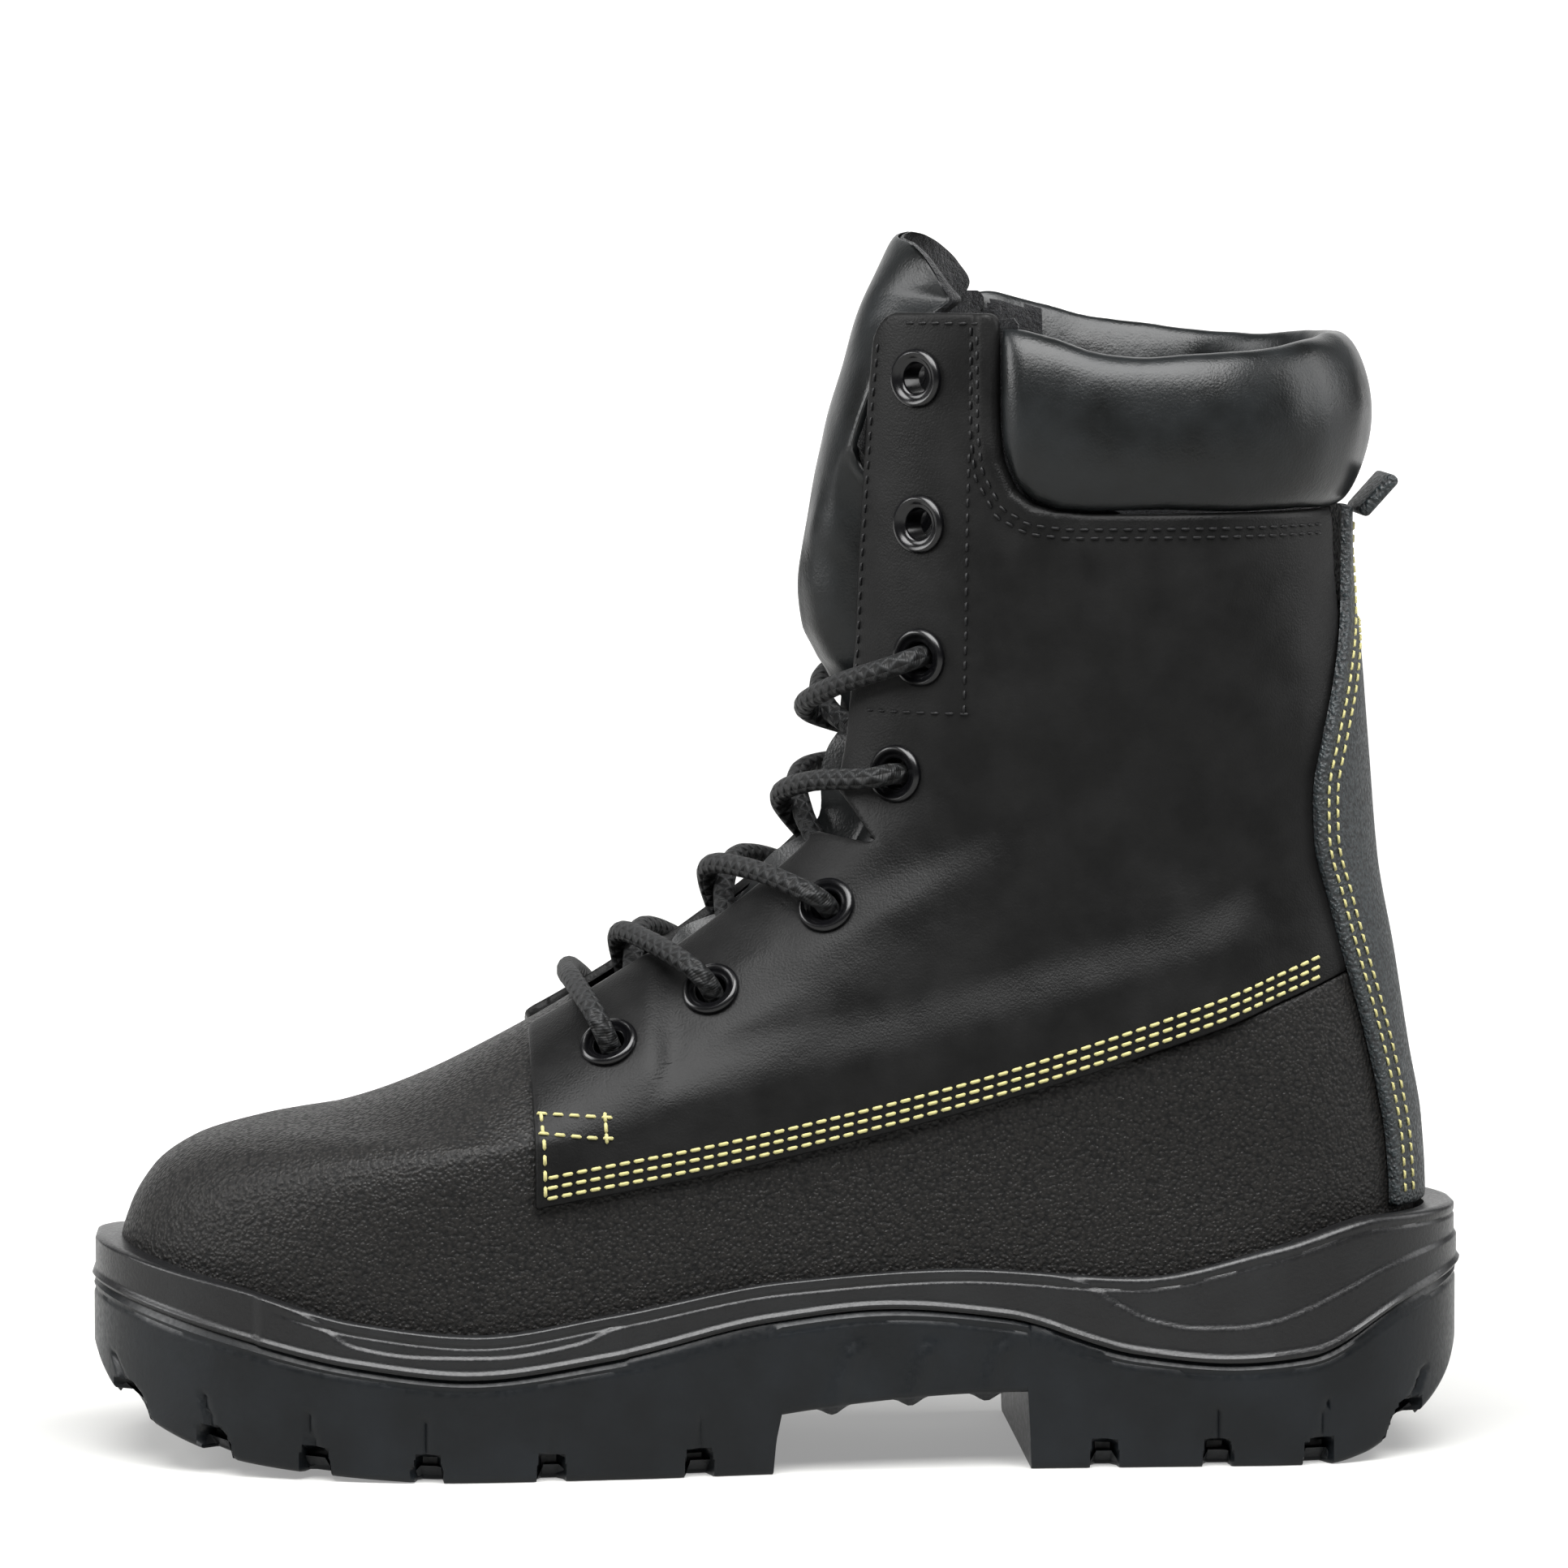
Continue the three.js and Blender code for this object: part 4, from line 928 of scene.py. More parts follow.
def lowTongue(z, y):
    side = np.where(y < 0, -1, 1)
    mix = float(ease(62, 128, z))
    width = float(lowHalfWidth(frontEdge(z))) * (1 - mix) + float(shaftWidth(z)) * mix
    share = np.clip(np.abs(y) / width, 0, 0.95)
    x = frontEdge(z) + frontReach(share)
    _, axis = surfaceFrame(side, np.maximum(x, frontEdge(z) + 1.2), np.full_like(x, z))
    lean = float(frontEdge(z + 1) - frontEdge(z - 1)) / 2
    ridge = np.array([-1, 0, lean]) / math.hypot(1, lean)
    near = bell(y, 7)[:, None]
    axis = unit(axis * (1 - near) + ridge * near)
    rise = 1 - ease(-60, -53, x)
    depth = 8.6 * rise + 7 * ease(170, 184, z) - tongueSet["drop"]
    pressed = max(float(bell(z - height, 5.5)) for _, height in crossings)
    swell = tongueRidge(z) + tongueSet["pillow"] * float(ease(104, 120, z)) * (1 - pressed)
    depth = depth + swell * np.clip(1 - np.abs(y) / 9.5, 0, 1) ** 1.15
    return np.stack([x, y, np.full_like(x, z)], axis=-1) + axis * depth[:, None], -axis


def topTongue(z, share):
    front, edge = float(tongueFront(z)), float(tongueWing(z))
    half = float(tongueTopHalf(max(z, 186)))
    y = half * np.sin(share * np.pi / 2)
    wrap = float(tongueWrap(z)) * (1 + np.where(share > 0, 0.1, 0.26) * share)
    plain = np.stack([front + wrap * np.abs(y / half) ** 2.1, y], 1)
    knots = np.array([0, 0.25, 0.45, 0.6, 0.7, 0.8, 1])
    across = curveThrough(np.stack([knots, [0, 6.5, 11, 13, 13.9, 15, 21]], 1))
    depth = edge - front
    backs = [0, 0.2 * depth, 0.6 * depth, depth, depth + 4, depth + 8, depth + 12]
    behind = curveThrough(np.stack([knots, backs], 1))
    winged = np.stack([front + behind(np.abs(share)), np.sign(share) * across(np.abs(share))], 1)
    mix = float(ease(212, 228, z))
    plan = winged * (1 - mix) + plain * mix
    way = unit(np.gradient(plan, axis=0))
    inward = np.stack([way[:, 1], -way[:, 0], 0 * y], 1)
    tilt = tongueSet["tilt"] * plan[:, 1] * float(ease(256, 268, z))
    tilt = tilt + tongueSet["point"] * float(ease(264, tongueSet["tip"], z)) * bell(plan[:, 1] - 7, 9)
    return np.stack([plan[:, 0], plan[:, 1], z + tilt], axis=-1), inward


def tongueRow(z):
    share = np.linspace(-1, 1, 65)
    lowHalf = float(np.interp(z, [150, 178], [24, 20]))
    low, lowIn = lowTongue(z, lowHalf * np.sin(share * np.pi / 2))
    top, topIn = topTongue(z, share)
    mix = float(ease(168, 180, z))
    return low * (1 - mix) + top * mix, unit(lowIn * (1 - mix) + topIn * mix), share


def tonguePart(name, near, far, puffed):
    tip = tongueSet["tip"]
    rows = np.concatenate([np.linspace(tongueSet["foot"], 252, 120), np.linspace(253, tip, 44)])
    rings = []
    for z in rows:
        face, inward, share = tongueRow(float(z))
        edge = np.sqrt(np.maximum(1 - np.abs(share) ** 12, 0.0))
        fromTip = np.clip((tip - z) / 3, 0, 1)
        edge = edge * math.sqrt(max(1 - (1 - fromTip) ** 2, 0.02))
        thin = 1 - 0.55 * float(ease(254, 270, z))
        middle, front, back = (near + far) / 2 * thin, near * thin, far * thin
        wave = np.sin(z / 2.3) * 0.12 * bell(np.abs(share) - 0.9, 0.08)
        bulge = puffed * thin * (1 - share ** 2) + wave
        bulge = bulge + 0.3 * softNoise(face, 9, 12)
        outer = face + inward * (middle - (middle - front) * edge - bulge * (near == 0))[:, None]
        inner = face + inward * (middle + (back - middle) * edge + bulge * (near > 0))[:, None]
        rings.append(np.concatenate([outer[::-1], inner]))
    rings = np.array(rings)
    obj = makeObject(name, rings.reshape(-1, 3), sweepFaces(len(rings), rings.shape[1]), 0.02)
    smoothShade(obj, 60)
    return obj


tongueFace = tonguePart("tongueFace", 0, tongueSet["face"], 0.6)
tongueLining = tonguePart("tongueLining", tongueSet["face"] + 0.1, tongueSet["thickness"], 0.4)
finishPiece(tongueFace, "collar", None, ["tongue_base", "tongue_top"])
finishPiece(tongueLining, "felt", None)
for piece in (tongueFace, tongueLining):
    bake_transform(piece)
print("tongue")


# eyelets and washers: turned rings

def spinRing(name, profile, steps=40):
    mesh = bpy.data.meshes.new(name)
    points = [(r * mm, 0, h * mm) for r, h in profile]
    count = len(points)
    mesh.from_pydata(points, [(i, (i + 1) % count) for i in range(count)], [])
    obj = linked(bpy.data.objects.new(name, mesh))
    alone(obj)
    bpy.ops.object.mode_set(mode="EDIT")
    bpy.ops.mesh.select_all(action="SELECT")
    bpy.ops.mesh.spin(steps=steps, angle=2 * math.pi, center=(0, 0, 0), axis=(0, 0, 1))
    bpy.ops.object.mode_set(mode="OBJECT")
    tidyMesh(obj, 0.01)
    return obj


eyeletSet = {"flange": 6.65, "bore": 3.4, "wall": 0.7, "rise": 1.25, "seat": -0.45}


def eyeletProfile(lift):
    end = -6.0 - lift
    e = eyeletSet
    return [(e["bore"], end), (e["bore"] + e["wall"], end), (e["bore"] + e["wall"], e["seat"]),
            (e["flange"] - 0.15, e["seat"]), (e["flange"], e["seat"] + 0.5), (e["flange"] - 0.12, 0.62),
            (e["flange"] - 0.45, 1.05), (e["flange"] - 0.95, e["rise"]), (e["flange"] - 1.5, 1.12),
            (e["flange"] - 1.95, 0.72), (e["flange"] - 2.3, 0.5), (4.05, 0.42), (3.75, 0.3), (3.5, 0.0),
            (e["bore"], -0.5)]


def washerProfile(lift):
    top = -5.0 - lift
    return [(4.4, top), (4.4, top - 0.8), (5.8, top - 0.8), (6.0, top - 0.6), (6.0, top - 0.2), (5.8, top)]


for sideName, rows in eyeletFrames.items():
    for i, item in enumerate(rows):
        place = standing(item["place"], item["axis"])
        for kind, profile in (("eyelet", eyeletProfile), ("eyelet_washer", washerProfile)):
            node = "%s_%s_%d" % (kind, sideName, i + 1)
            made = spinRing(node + "_ring", profile(item["lift"]))
            made.data.transform(place)
            smoothShade(made, 35)
            finishPiece(made, "enamel", replaced=[node])
print("eyelets")

# lace: one braided cord through the five lower rows, its ends tucked inside

laceSet = {"radius": 2.4, "sides": 14, "step": 1.1, "twist": 3.4}
tailRoute = np.array([[39, 22.5, 176], [42.5, 22.5, 160], [42.5, 24, 130], [35, 25.5, 95], [22, 25.5, 66],
                      [4, 25.5, 51], [-30, 26, 42], [-68, 27, 37], [-92, 24.5, 38.8], [-97, 20.5, 39.6],
                      [-91, 16.6, 38.6], [-62, 16, 37.2], [-30, 16, 42], [4, 16, 49]], float)
tailEnd = np.array([30, 16, 50.2])


def ridgeFrame(z):
    lean = float(frontEdge(z + 1) - frontEdge(z - 1)) / 2
    axis = np.array([-1, 0, lean]) / math.hypot(1, lean)
    return {"place": np.array([float(frontEdge(z)), 0, z]), "axis": axis, "lift": 0.0}


def between(start, end, t, lift):
    turn = math.acos(max(-1, min(1, float(start["axis"] @ end["axis"]))))
    sag = np.linalg.norm(start["place"] - end["place"]) * math.tan(turn / 4) / 2
    axis = start["axis"] * (1 - t) + end["axis"] * t
    axis = axis / np.linalg.norm(axis)
    return start["place"] * (1 - t) + end["place"] * t + axis * (lift + 4 * t * (1 - t) * sag)


def besideHole(item, toward, reach, lift):
    way = toward - item["place"]
    way = way - item["axis"] * (way @ item["axis"])
    return item["place"] + way / np.linalg.norm(way) * reach + item["axis"] * lift


def climb(item, ridge):
    return [besideHole(item, ridge["place"], 0.2, 2.4), besideHole(item, ridge["place"], 3, 5.0)]


def strand(under, over, height, lift):
    ridge = ridgeFrame(height)
    deep = -9.8 - under["lift"]
    return [besideHole(under, ridge["place"], 0.2, -7.3 - under["lift"]),
            besideHole(under, ridge["place"], 3, deep), between(under, ridge, 0.56, -9.4),
            between(under, ridge, 1, lift), between(over, ridge, 0.55, 4.7), *climb(over, ridge)[::-1]]


def laceRoute():
    lateral, medial = eyeletFrames["lateral"], eyeletFrames["medial"]
    down, up = [], []
    for i, (row, height) in enumerate(crossings):
        first, second = (lateral, medial) if i % 2 == 0 else (medial, lateral)
        lifts = (5.4, -0.6) if i % 2 == 0 else (-0.6, 5.4)
        down += strand(second[row + 1], first[row], height, lifts[0])[::-1]
        up = strand(first[row + 1], second[row], height, lifts[1]) + up
    bar = ridgeFrame(104)
    last = (lateral[6], medial[6])
    across = [*climb(last[0], bar), between(last[0], bar, 0.6, 4.7), between(last[0], bar, 1, 4.7),
              between(last[1], bar, 0.6, 4.7), *climb(last[1], bar)[::-1]]
    ends = [item["place"] + item["axis"] * -7.3 for item in (lateral[2], medial[2])]
    flip = np.array([1, -1, 1])
    return np.array([*(tailRoute * flip)[::-1], ends[0], *down, *across, *up, ends[1], *tailRoute])


def smoothRoute(points, perSpan=24):
    ends = [2 * points[0] - points[1], *points, 2 * points[-1] - points[-2]]
    made = []
    for i in range(1, len(ends) - 2):
        p0, p1, p2, p3 = ends[i - 1:i + 3]
        d0, d1, d2 = (max(np.linalg.norm(b - a) ** 0.5, 1e-4) for a, b in ((p0, p1), (p1, p2), (p2, p3)))
        t1 = ((p1 - p0) / d0 - (p2 - p0) / (d0 + d1) + (p2 - p1) / d1) * d1
        t2 = ((p2 - p1) / d1 - (p3 - p1) / (d1 + d2) + (p3 - p2) / d2) * d1
        for k in range(perSpan):
            t = k / perSpan
            made.append((2 * t ** 3 - 3 * t * t + 1) * p1 + (t ** 3 - 2 * t * t + t) * t1
                        + (3 * t * t - 2 * t ** 3) * p2 + (t ** 3 - t * t) * t2)
    made.append(points[-1])
    return np.array(made)


def evenly(line, step):
    walk = walked(line)
    at = np.linspace(0, walk[-1], max(int(walk[-1] / step), 2) + 1)
    return np.stack([np.interp(at, walk, line[:, k]) for k in range(3)], 1), at


def tube(name, line, at, radius, sides, pitch):
    way = unit(np.gradient(line, axis=0))
    side = np.cross(way[0], [0, 0, 1.0])
    side = side / np.linalg.norm(side)
    vertices, uvs = [], []
    for i, p in enumerate(line):
        side = side - way[i] * (side @ way[i])
        side = side / np.linalg.norm(side)
        other = np.cross(way[i], side)
        for k in range(sides):
            turn = 2 * math.pi * k / sides
            vertices.append(p + (side * math.cos(turn) + other * math.sin(turn)) * radius)
    count = len(line)
    for i in range(count - 1):
        for k in range(sides):
            a, b, lo, hi = at[i] / pitch, at[i + 1] / pitch, k / sides, (k + 1) / sides
            uvs += [(a, lo), (a, hi), (b, hi), (b, lo)]
    uvs += [(0, 0)] * (2 * sides)
    obj = makeObject(name, vertices, sweepFaces(count, sides))
    layer = obj.data.uv_layers.new(name="braid")
    layer.data.foreach_set("uv", np.array(uvs, float).ravel())
    obj.data.polygons.foreach_set("use_smooth", [True] * len(obj.data.polygons))
    return obj


laceLine, laceAt = evenly(smoothRoute(laceRoute()), laceSet["step"])
lace = tube("laceCord", laceLine, laceAt, laceSet["radius"], laceSet["sides"], laceSet["twist"])
finishPiece(lace, "braid", replaced=["lace"])
tipSet = {"length": 22, "radius": 2.3, "gap": 0.45, "bevel": 0.5}
for sideName, side in bothSides:
    start = tailRoute[-1] * np.array([1, side, 1])
    way = tailEnd * np.array([1, side, 1]) - start
    way = way / np.linalg.norm(way)
    tip = added("laceTip_" + sideName, bpy.ops.mesh.primitive_cylinder_add, vertices=24,
                radius=tipSet["radius"] * mm, depth=tipSet["length"] * mm)
    bevelEdges(tip, tipSet["bevel"], 3)
    tip.data.transform(standing(start + way * (tipSet["gap"] + tipSet["length"] / 2), way))
    smoothShade(tip, 40)
    finishPiece(tip, "tip", replaced=["lace_tip_" + sideName])
print("lace length", round(laceAt[-1], 1))

# heel pull tab: folded webbing sewn under the collar

tabSet = {"length": 11.5, "width": 24, "thickness": 3, "angle": 48, "bevel": 1.3, "reach": 4.25,
          "root": (132.9, 213.2)}
tab = added("pullTab", bpy.ops.mesh.primitive_cube_add, size=1)
tabSize = [tabSet[key] * mm for key in ("length", "width", "thickness")]
tab.data.transform(Matrix.Diagonal((*tabSize, 1)))
bevelEdges(tab, tabSet["bevel"], 5)
away = math.radians(tabSet["angle"])
rootX, rootZ = tabSet["root"]
tabMiddle = (rootX + tabSet["reach"] * math.cos(away), 0, rootZ + tabSet["reach"] * math.sin(away))
tab.data.transform(Matrix.Translation(Vector(tabMiddle) * mm) @ Matrix.Rotation(-away, 4, "Y"))
smoothShade(tab, 60)
finishPiece(tab, "strap", "heel_tab", ["pull_tab"])
print("pull tab")

# sole unit: walls and treads made from a net round the sole's outline

soleSet = {"spread": 4.2, "columns": 620, "centreReach": 104, "slitDepth": 5.4, "half": 155.3,
           "toeRound": (71, 2.25), "heelRound": (50, 2.15)}
lugGaps = [[-145.5, -22, 25], [-126.5, -14, 19], [-104.5, -8, 16], [-79.7, -4, 15], [-52.5, 0, 14],
           [-19.5, 0, 15], [71.5, 0, 14], [96.8, 3, 14], [119.5, 10, 15.5], [139.8, 24, 21]]
archRibs = (10.5, 28, 45)


def soleEdge(side, x):
    half = lowHalfWidth(x) + soleSet["spread"]
    front = roundOff(x + soleSet["half"], *soleSet["toeRound"])
    back = roundOff(soleSet["half"] - x, *soleSet["heelRound"])
    return lowCentre(x) + side * half * front * back


def soleColumns():
    fine = 155 * -np.cos(np.linspace(0, np.pi, 6000))
    line = np.stack([fine, soleEdge(-1, fine)], 1)
    walk = walked(line)
    xs = np.interp(np.linspace(0, walk[-1], soleSet["columns"] // 2), walk, fine)
    marks = [-3.05, -2.95, -2.4, -1, 54.2, 54.8, 54.95, 55.05]
    for x, _, _ in lugGaps:
        marks += [x - 3.3, x - 3.0, x + 3.0, x + 3.3]
    xs = xs[np.min(np.abs(xs[:, None] - np.array(marks)[None]), axis=1) > 0.25]
    return np.sort(np.concatenate([xs, marks]))


soleXs = soleColumns()


def soleRing():
    lateral = np.stack([soleXs, soleEdge(-1, soleXs)], 1)
    medial = np.stack([soleXs, soleEdge(1, soleXs)], 1)[::-1]
    ringLine = np.concatenate([lateral, medial[:-1]])
    ringLine = ringLine[np.concatenate([[True], np.linalg.norm(np.diff(ringLine, axis=0), axis=1) > 1e-6])]
    way = np.roll(ringLine, -1, axis=0) - np.roll(ringLine, 1, axis=0)
    normal = np.stack([way[:, 1], -way[:, 0]], 1)
    return ringLine, normal / np.linalg.norm(normal, axis=1, keepdims=True)


soleLine, soleNormal = soleRing()
soleHeart = np.clip(soleLine[:, 0], -soleSet["centreReach"], soleSet["centreReach"])
soleHeart = np.stack([soleHeart, lowCentre(soleHeart)], 1)


def soleBody(name, layers):
    obj = makeObject(name, np.concatenate(layers), ringFaces(len(layers), len(soleLine)), 0.03)
    smoothShade(obj, 42)
    return obj


def inward(share, z, out=0.0):
    base = soleLine + soleNormal * np.asarray(out).reshape(-1, 1)
    plan = soleHeart + (base - soleHeart) * share
    return np.column_stack([plan, z])


def grooveAt(x, width, flank):
    depth = np.zeros_like(x)
    for at, _, _ in lugGaps:
        depth = np.maximum(depth, 1 - ease(width, width + flank, np.abs(x - at)))
    return depth


def slitDepth(x, z):
    depth = np.zeros_like(x)
    for at, lean, height in lugGaps:
        base = float(treadLine(at))
        slope = math.tan(math.radians(lean))
        off = np.abs(x - at - slope * (z - base))
        rise = z - base
        mouth = (1 - ease(2.7, 3.4, off + np.maximum(rise - 3, 0) * 0.3)) * (1 - ease(5.4, 6.4, rise))
        half = 1.5 - 0.9 * np.clip(rise / (height - base), 0, 1)
        faint = (1 - ease(half * 0.4, half, off)) * (1 - ease(height - base - 1.5, height - base, rise))
        depth = np.maximum(depth, np.maximum(soleSet["slitDepth"] * mouth, 0.9 * faint))
    for at in archRibs:
        base = float(treadLine(at))
        off = x - at - 0.35 * (z - base)
        depth = np.minimum(depth, depth - 0.9 * bell(off, 2.0) * (1 - ease(26, 31, z)))
    return depth


outsoleSet = {"grooveDepth": 3.6, "splitDepth": 2.6, "edge": 1.2, "wallRows": 34, "floorRows": 30}


def outsoleLayers():
    x = soleLine[:, 0]
    top = partingLine(x) - 0.15
    low = treadLine(x)
    layers = [inward(0.02, top - 0.2), inward(0.86, top - 0.2), inward(0.97, top)]
    for k in range(outsoleSet["wallRows"]):
        t = k / (outsoleSet["wallRows"] - 1)
        z = top + (low + outsoleSet["edge"] - top) * t
        lip = -0.9 + 0.9 * ease(0, 0.06, t)
        out = lip - slitDepth(x, z) - 0.35 * bell(z - top + 2.2, 0.5)
        layers.append(inward(1.0, z, out))
    for turn in (0.35, 0.7, 1.0):
        angle = turn * math.pi / 2
        z = low + outsoleSet["edge"] * (1 - math.sin(angle))
        out = -outsoleSet["edge"] * (1 - math.cos(angle)) - slitDepth(x, low + 0.6)
        layers.append(inward(1.0, z, out))
    for k in range(1, outsoleSet["floorRows"] + 1):
        share = 1 - k / outsoleSet["floorRows"] * 0.999
        plan = inward(share, low, -outsoleSet["edge"] * share)
        px, py = plan[:, 0], plan[:, 1] - lowCentre(plan[:, 0])
        base = treadLine(px)
        tread = ((px < -4) | (px > 56))
        split = ((px > -120) & (px < -12)) | ((px > 64) & (px < 130))
        middle = (1 - ease(1.6, 2.4, np.abs(py))) * outsoleSet["splitDepth"] * split
        cut = np.maximum(grooveAt(px, 2.6, 0.7) * outsoleSet["grooveDepth"], middle)
        rib = np.zeros_like(px)
        for at in archRibs:
            rib = np.maximum(rib, 2 * bell(px - at, 2.6))
        layers.append(np.column_stack([plan[:, :2], base + cut * tread - rib * (~tread)]))
    return layers


outsole = soleBody("rubberSole", outsoleLayers())
finishPiece(outsole, "rubber", replaced=["outsole"])

midsoleSet = {"wallRows": 44, "ribbon": 2.6}
frontWave = curveThrough([[-155, 45.5], [-125, 42.6], [-108, 37.6], [-95.8, 30.2], [-81.3, 28.2], [-65.6, 28],
                          [-47.2, 30.6], [-36, 35.4]])
heelWave = curveThrough([[60.4, 44.4], [67.3, 41.5], [75, 36.7], [82, 33.4], [92.3, 31.5], [100.8, 31.5],
                         [109.5, 32.8], [118.1, 35.9], [126.7, 39.8], [135.3, 43.7], [143.9, 46.3],
                         [154.3, 48.3]])


def midsoleLayers():
    x = soleLine[:, 0]
    low, top = partingLine(x) + 0.15, featherLine(x)
    layers = [inward(0.02, low), inward(0.97, low)]
    for k in range(midsoleSet["wallRows"]):
        t = k / (midsoleSet["wallRows"] - 1)
        z = low + (top - low) * t
        out = 0.75 * bell(z - low - 0.9, 0.7)
        out = out - 0.35 * bell(z - (top - midsoleSet["ribbon"]), 0.45) * ease(-116, -104, x)
        inFront = ((x > -118) & (x < -36)).astype(float)
        inHeel = (x > 60.4).astype(float)
        below = ease(-0.6, 0.6, frontWave(x) - z) * inFront + ease(-0.6, 0.6, heelWave(x) - z) * inHeel
        out = out + 0.55 * below - 0.3
        topRound = -1.3 * (1 - math.sqrt(max(1 - max(0, (t - 0.93) / 0.07) ** 2, 0)))
        layers.append(inward(1.0, z, out + topRound))
    layers += [inward(0.95, top - 0.1), inward(0.86, top - 0.6), inward(0.84, top - 6), inward(0.02, low + 3)]
    return layers


midsole = soleBody("foamMidsole", midsoleLayers())
finishPiece(midsole, "foam", replaced=["midsole"])
print("sole", len(outsole.data.polygons), len(midsole.data.polygons))

# stitching: short raised capsules of thread

stitchSet = {"hem": {"pitch": 3.2, "length": 2.5, "radius": 0.36},
             "black": {"pitch": 3.2, "length": 2.2, "radius": 0.3},
             "strap": {"pitch": 2.9, "length": 2.2, "radius": 0.3}}
hemRows = ((2.0, -52.4), (4.2, -52.4), (6.4, -52.2))
hemBox = [[[-54, 64.5], [-54.2, 79]], [[-54, 75.8], [-40, 75.8]], [[-54, 79.6], [-40, 79.6]],
          [[-40.4, 75.8], [-40.4, 79.6]]]
blackRows = [[[42.6, 252], [42.8, 232], [44, 222.5], [48, 215], [54, 211.4], [62, 210.4], [120, 210.6]],
             [[41, 254], [41, 231], [42.2, 221.4], [46.8, 213], [53.4, 209.4], [62, 208.5], [120, 208.7]],
             [[40.8, 226], [40.4, 214], [40.2, 190], [40, 170]], [[40, 169], [20, 169]]]
topRow = [[28, 255.8], [42, 255.8]]


def stitches(name, lines, size, material, lift=0.25):
    sides, ends = 6, [(-0.5, 0.3, -0.4), (-0.34, 1.0, 0.0), (0.34, 1.0, 0.0), (0.5, 0.3, -0.4)]
    vertices, faces = [], []
    for places, axes in lines:
        line, at = evenly(places, size["pitch"])
        walk = walked(places)
        up = unit(np.stack([np.interp(at, walk, axes[:, k]) for k in range(3)], 1))
        way = unit(np.gradient(line, axis=0))
        across = unit(np.cross(way, up))
        for p, w, a, u in zip(line, way, across, up):
            start = len(vertices)
            for along, fat, sink in ends:
                for k in range(sides):
                    turn = 2 * math.pi * k / sides
                    flat = a * math.cos(turn) * 1.15 + u * math.sin(turn)
                    vertices.append(p + w * along * size["length"] + flat * size["radius"] * fat
                                    + u * (lift + sink))
            faces += [tuple(start + i for i in face) for face in sweepFaces(len(ends), sides)]
    obj = makeObject(name, vertices, faces)
    obj.data.polygons.foreach_set("use_smooth", [True] * len(obj.data.polygons))
    finishPiece(obj, material)
    return obj


def onQuarter(side, points):
    points = np.array(points, float)
    walk = np.concatenate([[0], np.cumsum(np.hypot(*np.diff(points, axis=0).T))])
    at = np.linspace(0, walk[-1], max(int(walk[-1] / 0.8), 4))
    x, z = np.interp(at, walk, points[:, 0]), np.interp(at, walk, points[:, 1])
    place, axis = surfaceFrame(side, x, z)
    out = quarterOuter(place, np.full(len(x), 5.0))
    return place + axis * out[:, None], axis


def hemLine(above, start, end):
    xs = np.linspace(start, end, 60)
    return np.stack([xs, quarterHem(xs) + above], 1)


for sideName, side in bothSides:
    rows = [onQuarter(side, line) for line in [hemLine(h, s, 119.5) for h, s in hemRows] + hemBox]
    stitches("hemStitches_" + sideName, rows, stitchSet["hem"], "yellowThread")
    zs = np.linspace(60, 209, 80)
    strapRows = []
    for inset in (2.0, 4.1):
        place, axis = surfaceFrame(side, backstayEdge(zs) + inset, zs)
        strapRows.append((place + axis * 2.55, axis))
    stitches("strapStitches_" + sideName, strapRows, stitchSet["strap"], "yellowThread", 0.15)
    edgeZ = np.linspace(178, 250, 60)
    gap, width = throatGap(edgeZ) + 2.2, shaftWidth(edgeZ)
    edgeX = frontEdge(edgeZ) + frontReach(gap / width)
    black = [onQuarter(side, line) for line in (*blackRows, np.stack([edgeX, edgeZ], 1), topRow)]
    stitches("blackStitches_" + sideName, black, stitchSet["black"], "thread", 0.2)
print("stitches")

# inner pieces keep their own shapes and take their finish here

for node, material, slotName in (("shank", "fibre", "shank_fibre"), ("insole_board", "board", "insole_fibre"),
                                 ("footbed", "footbed", "footbed_foam"), ("toe_cap", "steel", "cap_steel"),
                                 ("heel_counter", "fibre", "shank_fibre")):
    nodes[node].data.materials.clear()
    nodes[node].data.materials.append(materials[material])

# studio: pale floor, soft lights, long lens

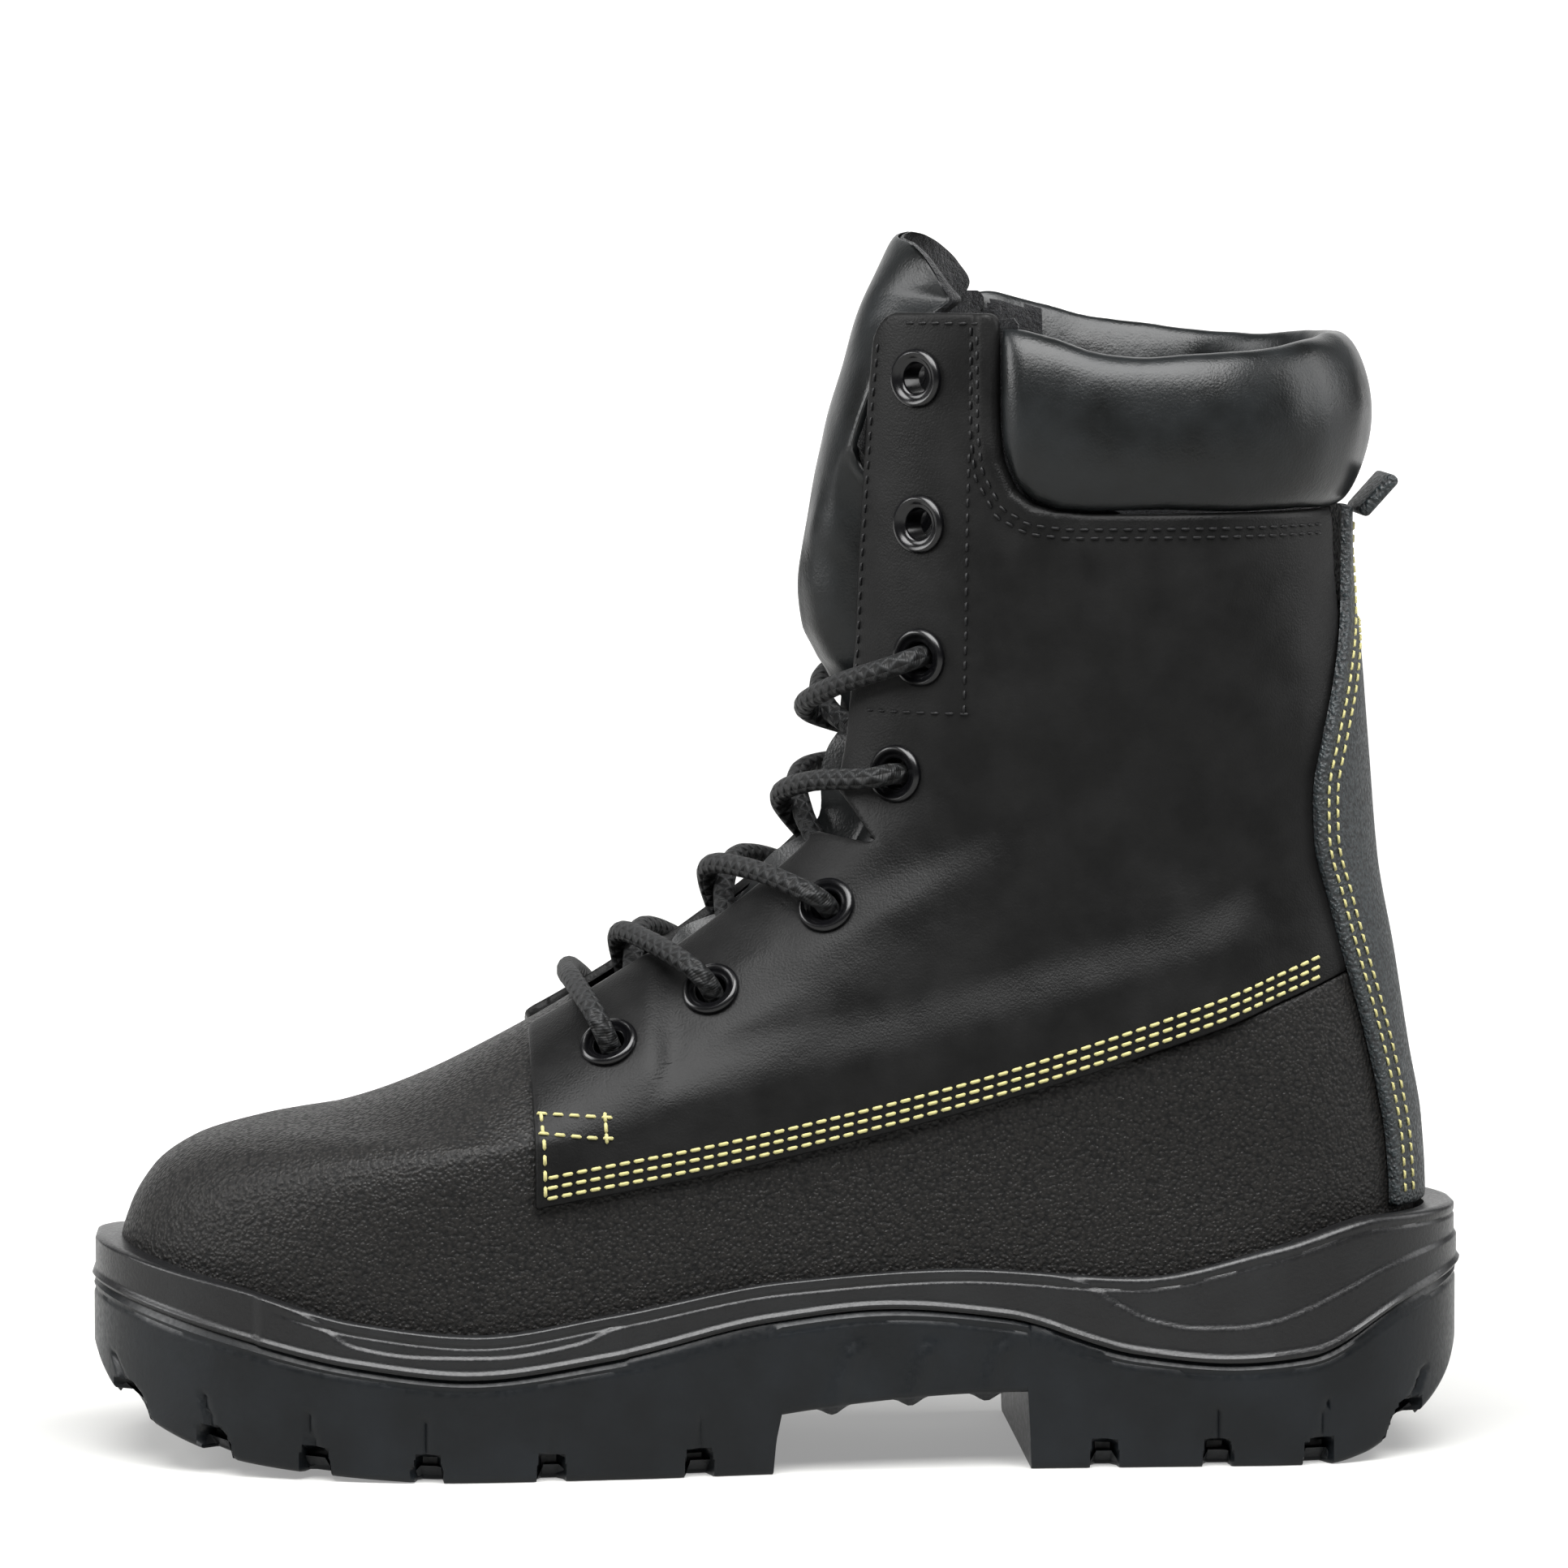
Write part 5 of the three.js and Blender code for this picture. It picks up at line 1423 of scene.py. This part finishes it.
# glow of the floor: start and end behind the boot in metres, strength at each
studio = {"world": 0.1, "top": 98, "toe": 26, "heel": 12, "floor": "#8a8a88", "backdrop": 1.1,
          "glow": (0.04, 0.5, 0.3, 0.85)}
floor = added("floor", bpy.ops.mesh.primitive_plane_add, size=30, location=(0, 0, 0))
paleFloor, tree, surface = newMaterial("paleFloor", studio["floor"], 0.85, {"Specular IOR Level": 0.1})
surface.inputs["Emission Color"].default_value = (1, 1, 1, 1)
place = addNode(tree, "ShaderNodeSeparateXYZ", None, None, {"Vector": objectPoint(tree)})
tree.links.new(remap(tree, place.outputs["Y"], *studio["glow"]), surface.inputs["Emission Strength"])
floor.data.materials.append(paleFloor)
backdrop = added("backdrop", bpy.ops.mesh.primitive_plane_add, size=1)
backdrop.data.transform(Matrix.Translation((0, 3, 1.2)) @ Matrix.Rotation(math.pi / 2, 4, "X")
                        @ Matrix.Diagonal((4, 2.4, 1, 1)))
paleCard = {"Specular IOR Level": 0, "Emission Color": (1, 1, 1, 1), "Emission Strength": studio["backdrop"]}
backdrop.data.materials.append(newMaterial("paleCard", studio["floor"], 1.0, paleCard)[0])

world = bpy.data.worlds.new("studio")
world.use_nodes = True
background = world.node_tree.nodes["Background"]
background.inputs["Color"].default_value = (1, 1, 1, 1)
background.inputs["Strength"].default_value = studio["world"]
bpy.context.scene.world = world
bpy.context.scene.view_settings.view_transform = "Standard"


def softLight(name, place, aim, size, power):
    light = bpy.data.lights.new(name, "AREA")
    light.shape = "RECTANGLE"
    light.size, light.size_y = size
    light.energy = power
    obj = bpy.data.objects.new(name, light)
    obj.location = place
    obj.rotation_euler = (Vector(aim) - Vector(place)).to_track_quat("-Z", "Y").to_euler()
    linked(obj)


softLight("topLight", (0.05, -0.7, 1.3), (0, 0, 0.1), (1.7, 1.1), studio["top"])
softLight("toeLight", (-1.4, -0.15, 0.75), (-0.05, 0, 0.1), (0.8, 0.9), studio["toe"])
softLight("heelLight", (1.4, 0.1, 0.7), (0.05, 0, 0.15), (0.7, 1.0), studio["heel"])

cameraSet = {"azimuth": -3, "elevation": 4.5, "distance": 1.8, "aim": (0.0018, 0, 0.1506), "lens": 182}
camera = bpy.data.cameras.new("camera")
camera.lens = cameraSet["lens"]
camera.sensor_width = 36
cameraObject = bpy.data.objects.new("camera", camera)
a, e = math.radians(cameraSet["azimuth"]), math.radians(cameraSet["elevation"])
back = Vector((math.sin(a) * math.cos(e), -math.cos(a) * math.cos(e), math.sin(e)))
cameraObject.location = Vector(cameraSet["aim"]) + back * cameraSet["distance"]
cameraObject.rotation_euler = (-back).to_track_quat("-Z", "Y").to_euler()
bpy.context.scene.camera = linked(cameraObject)
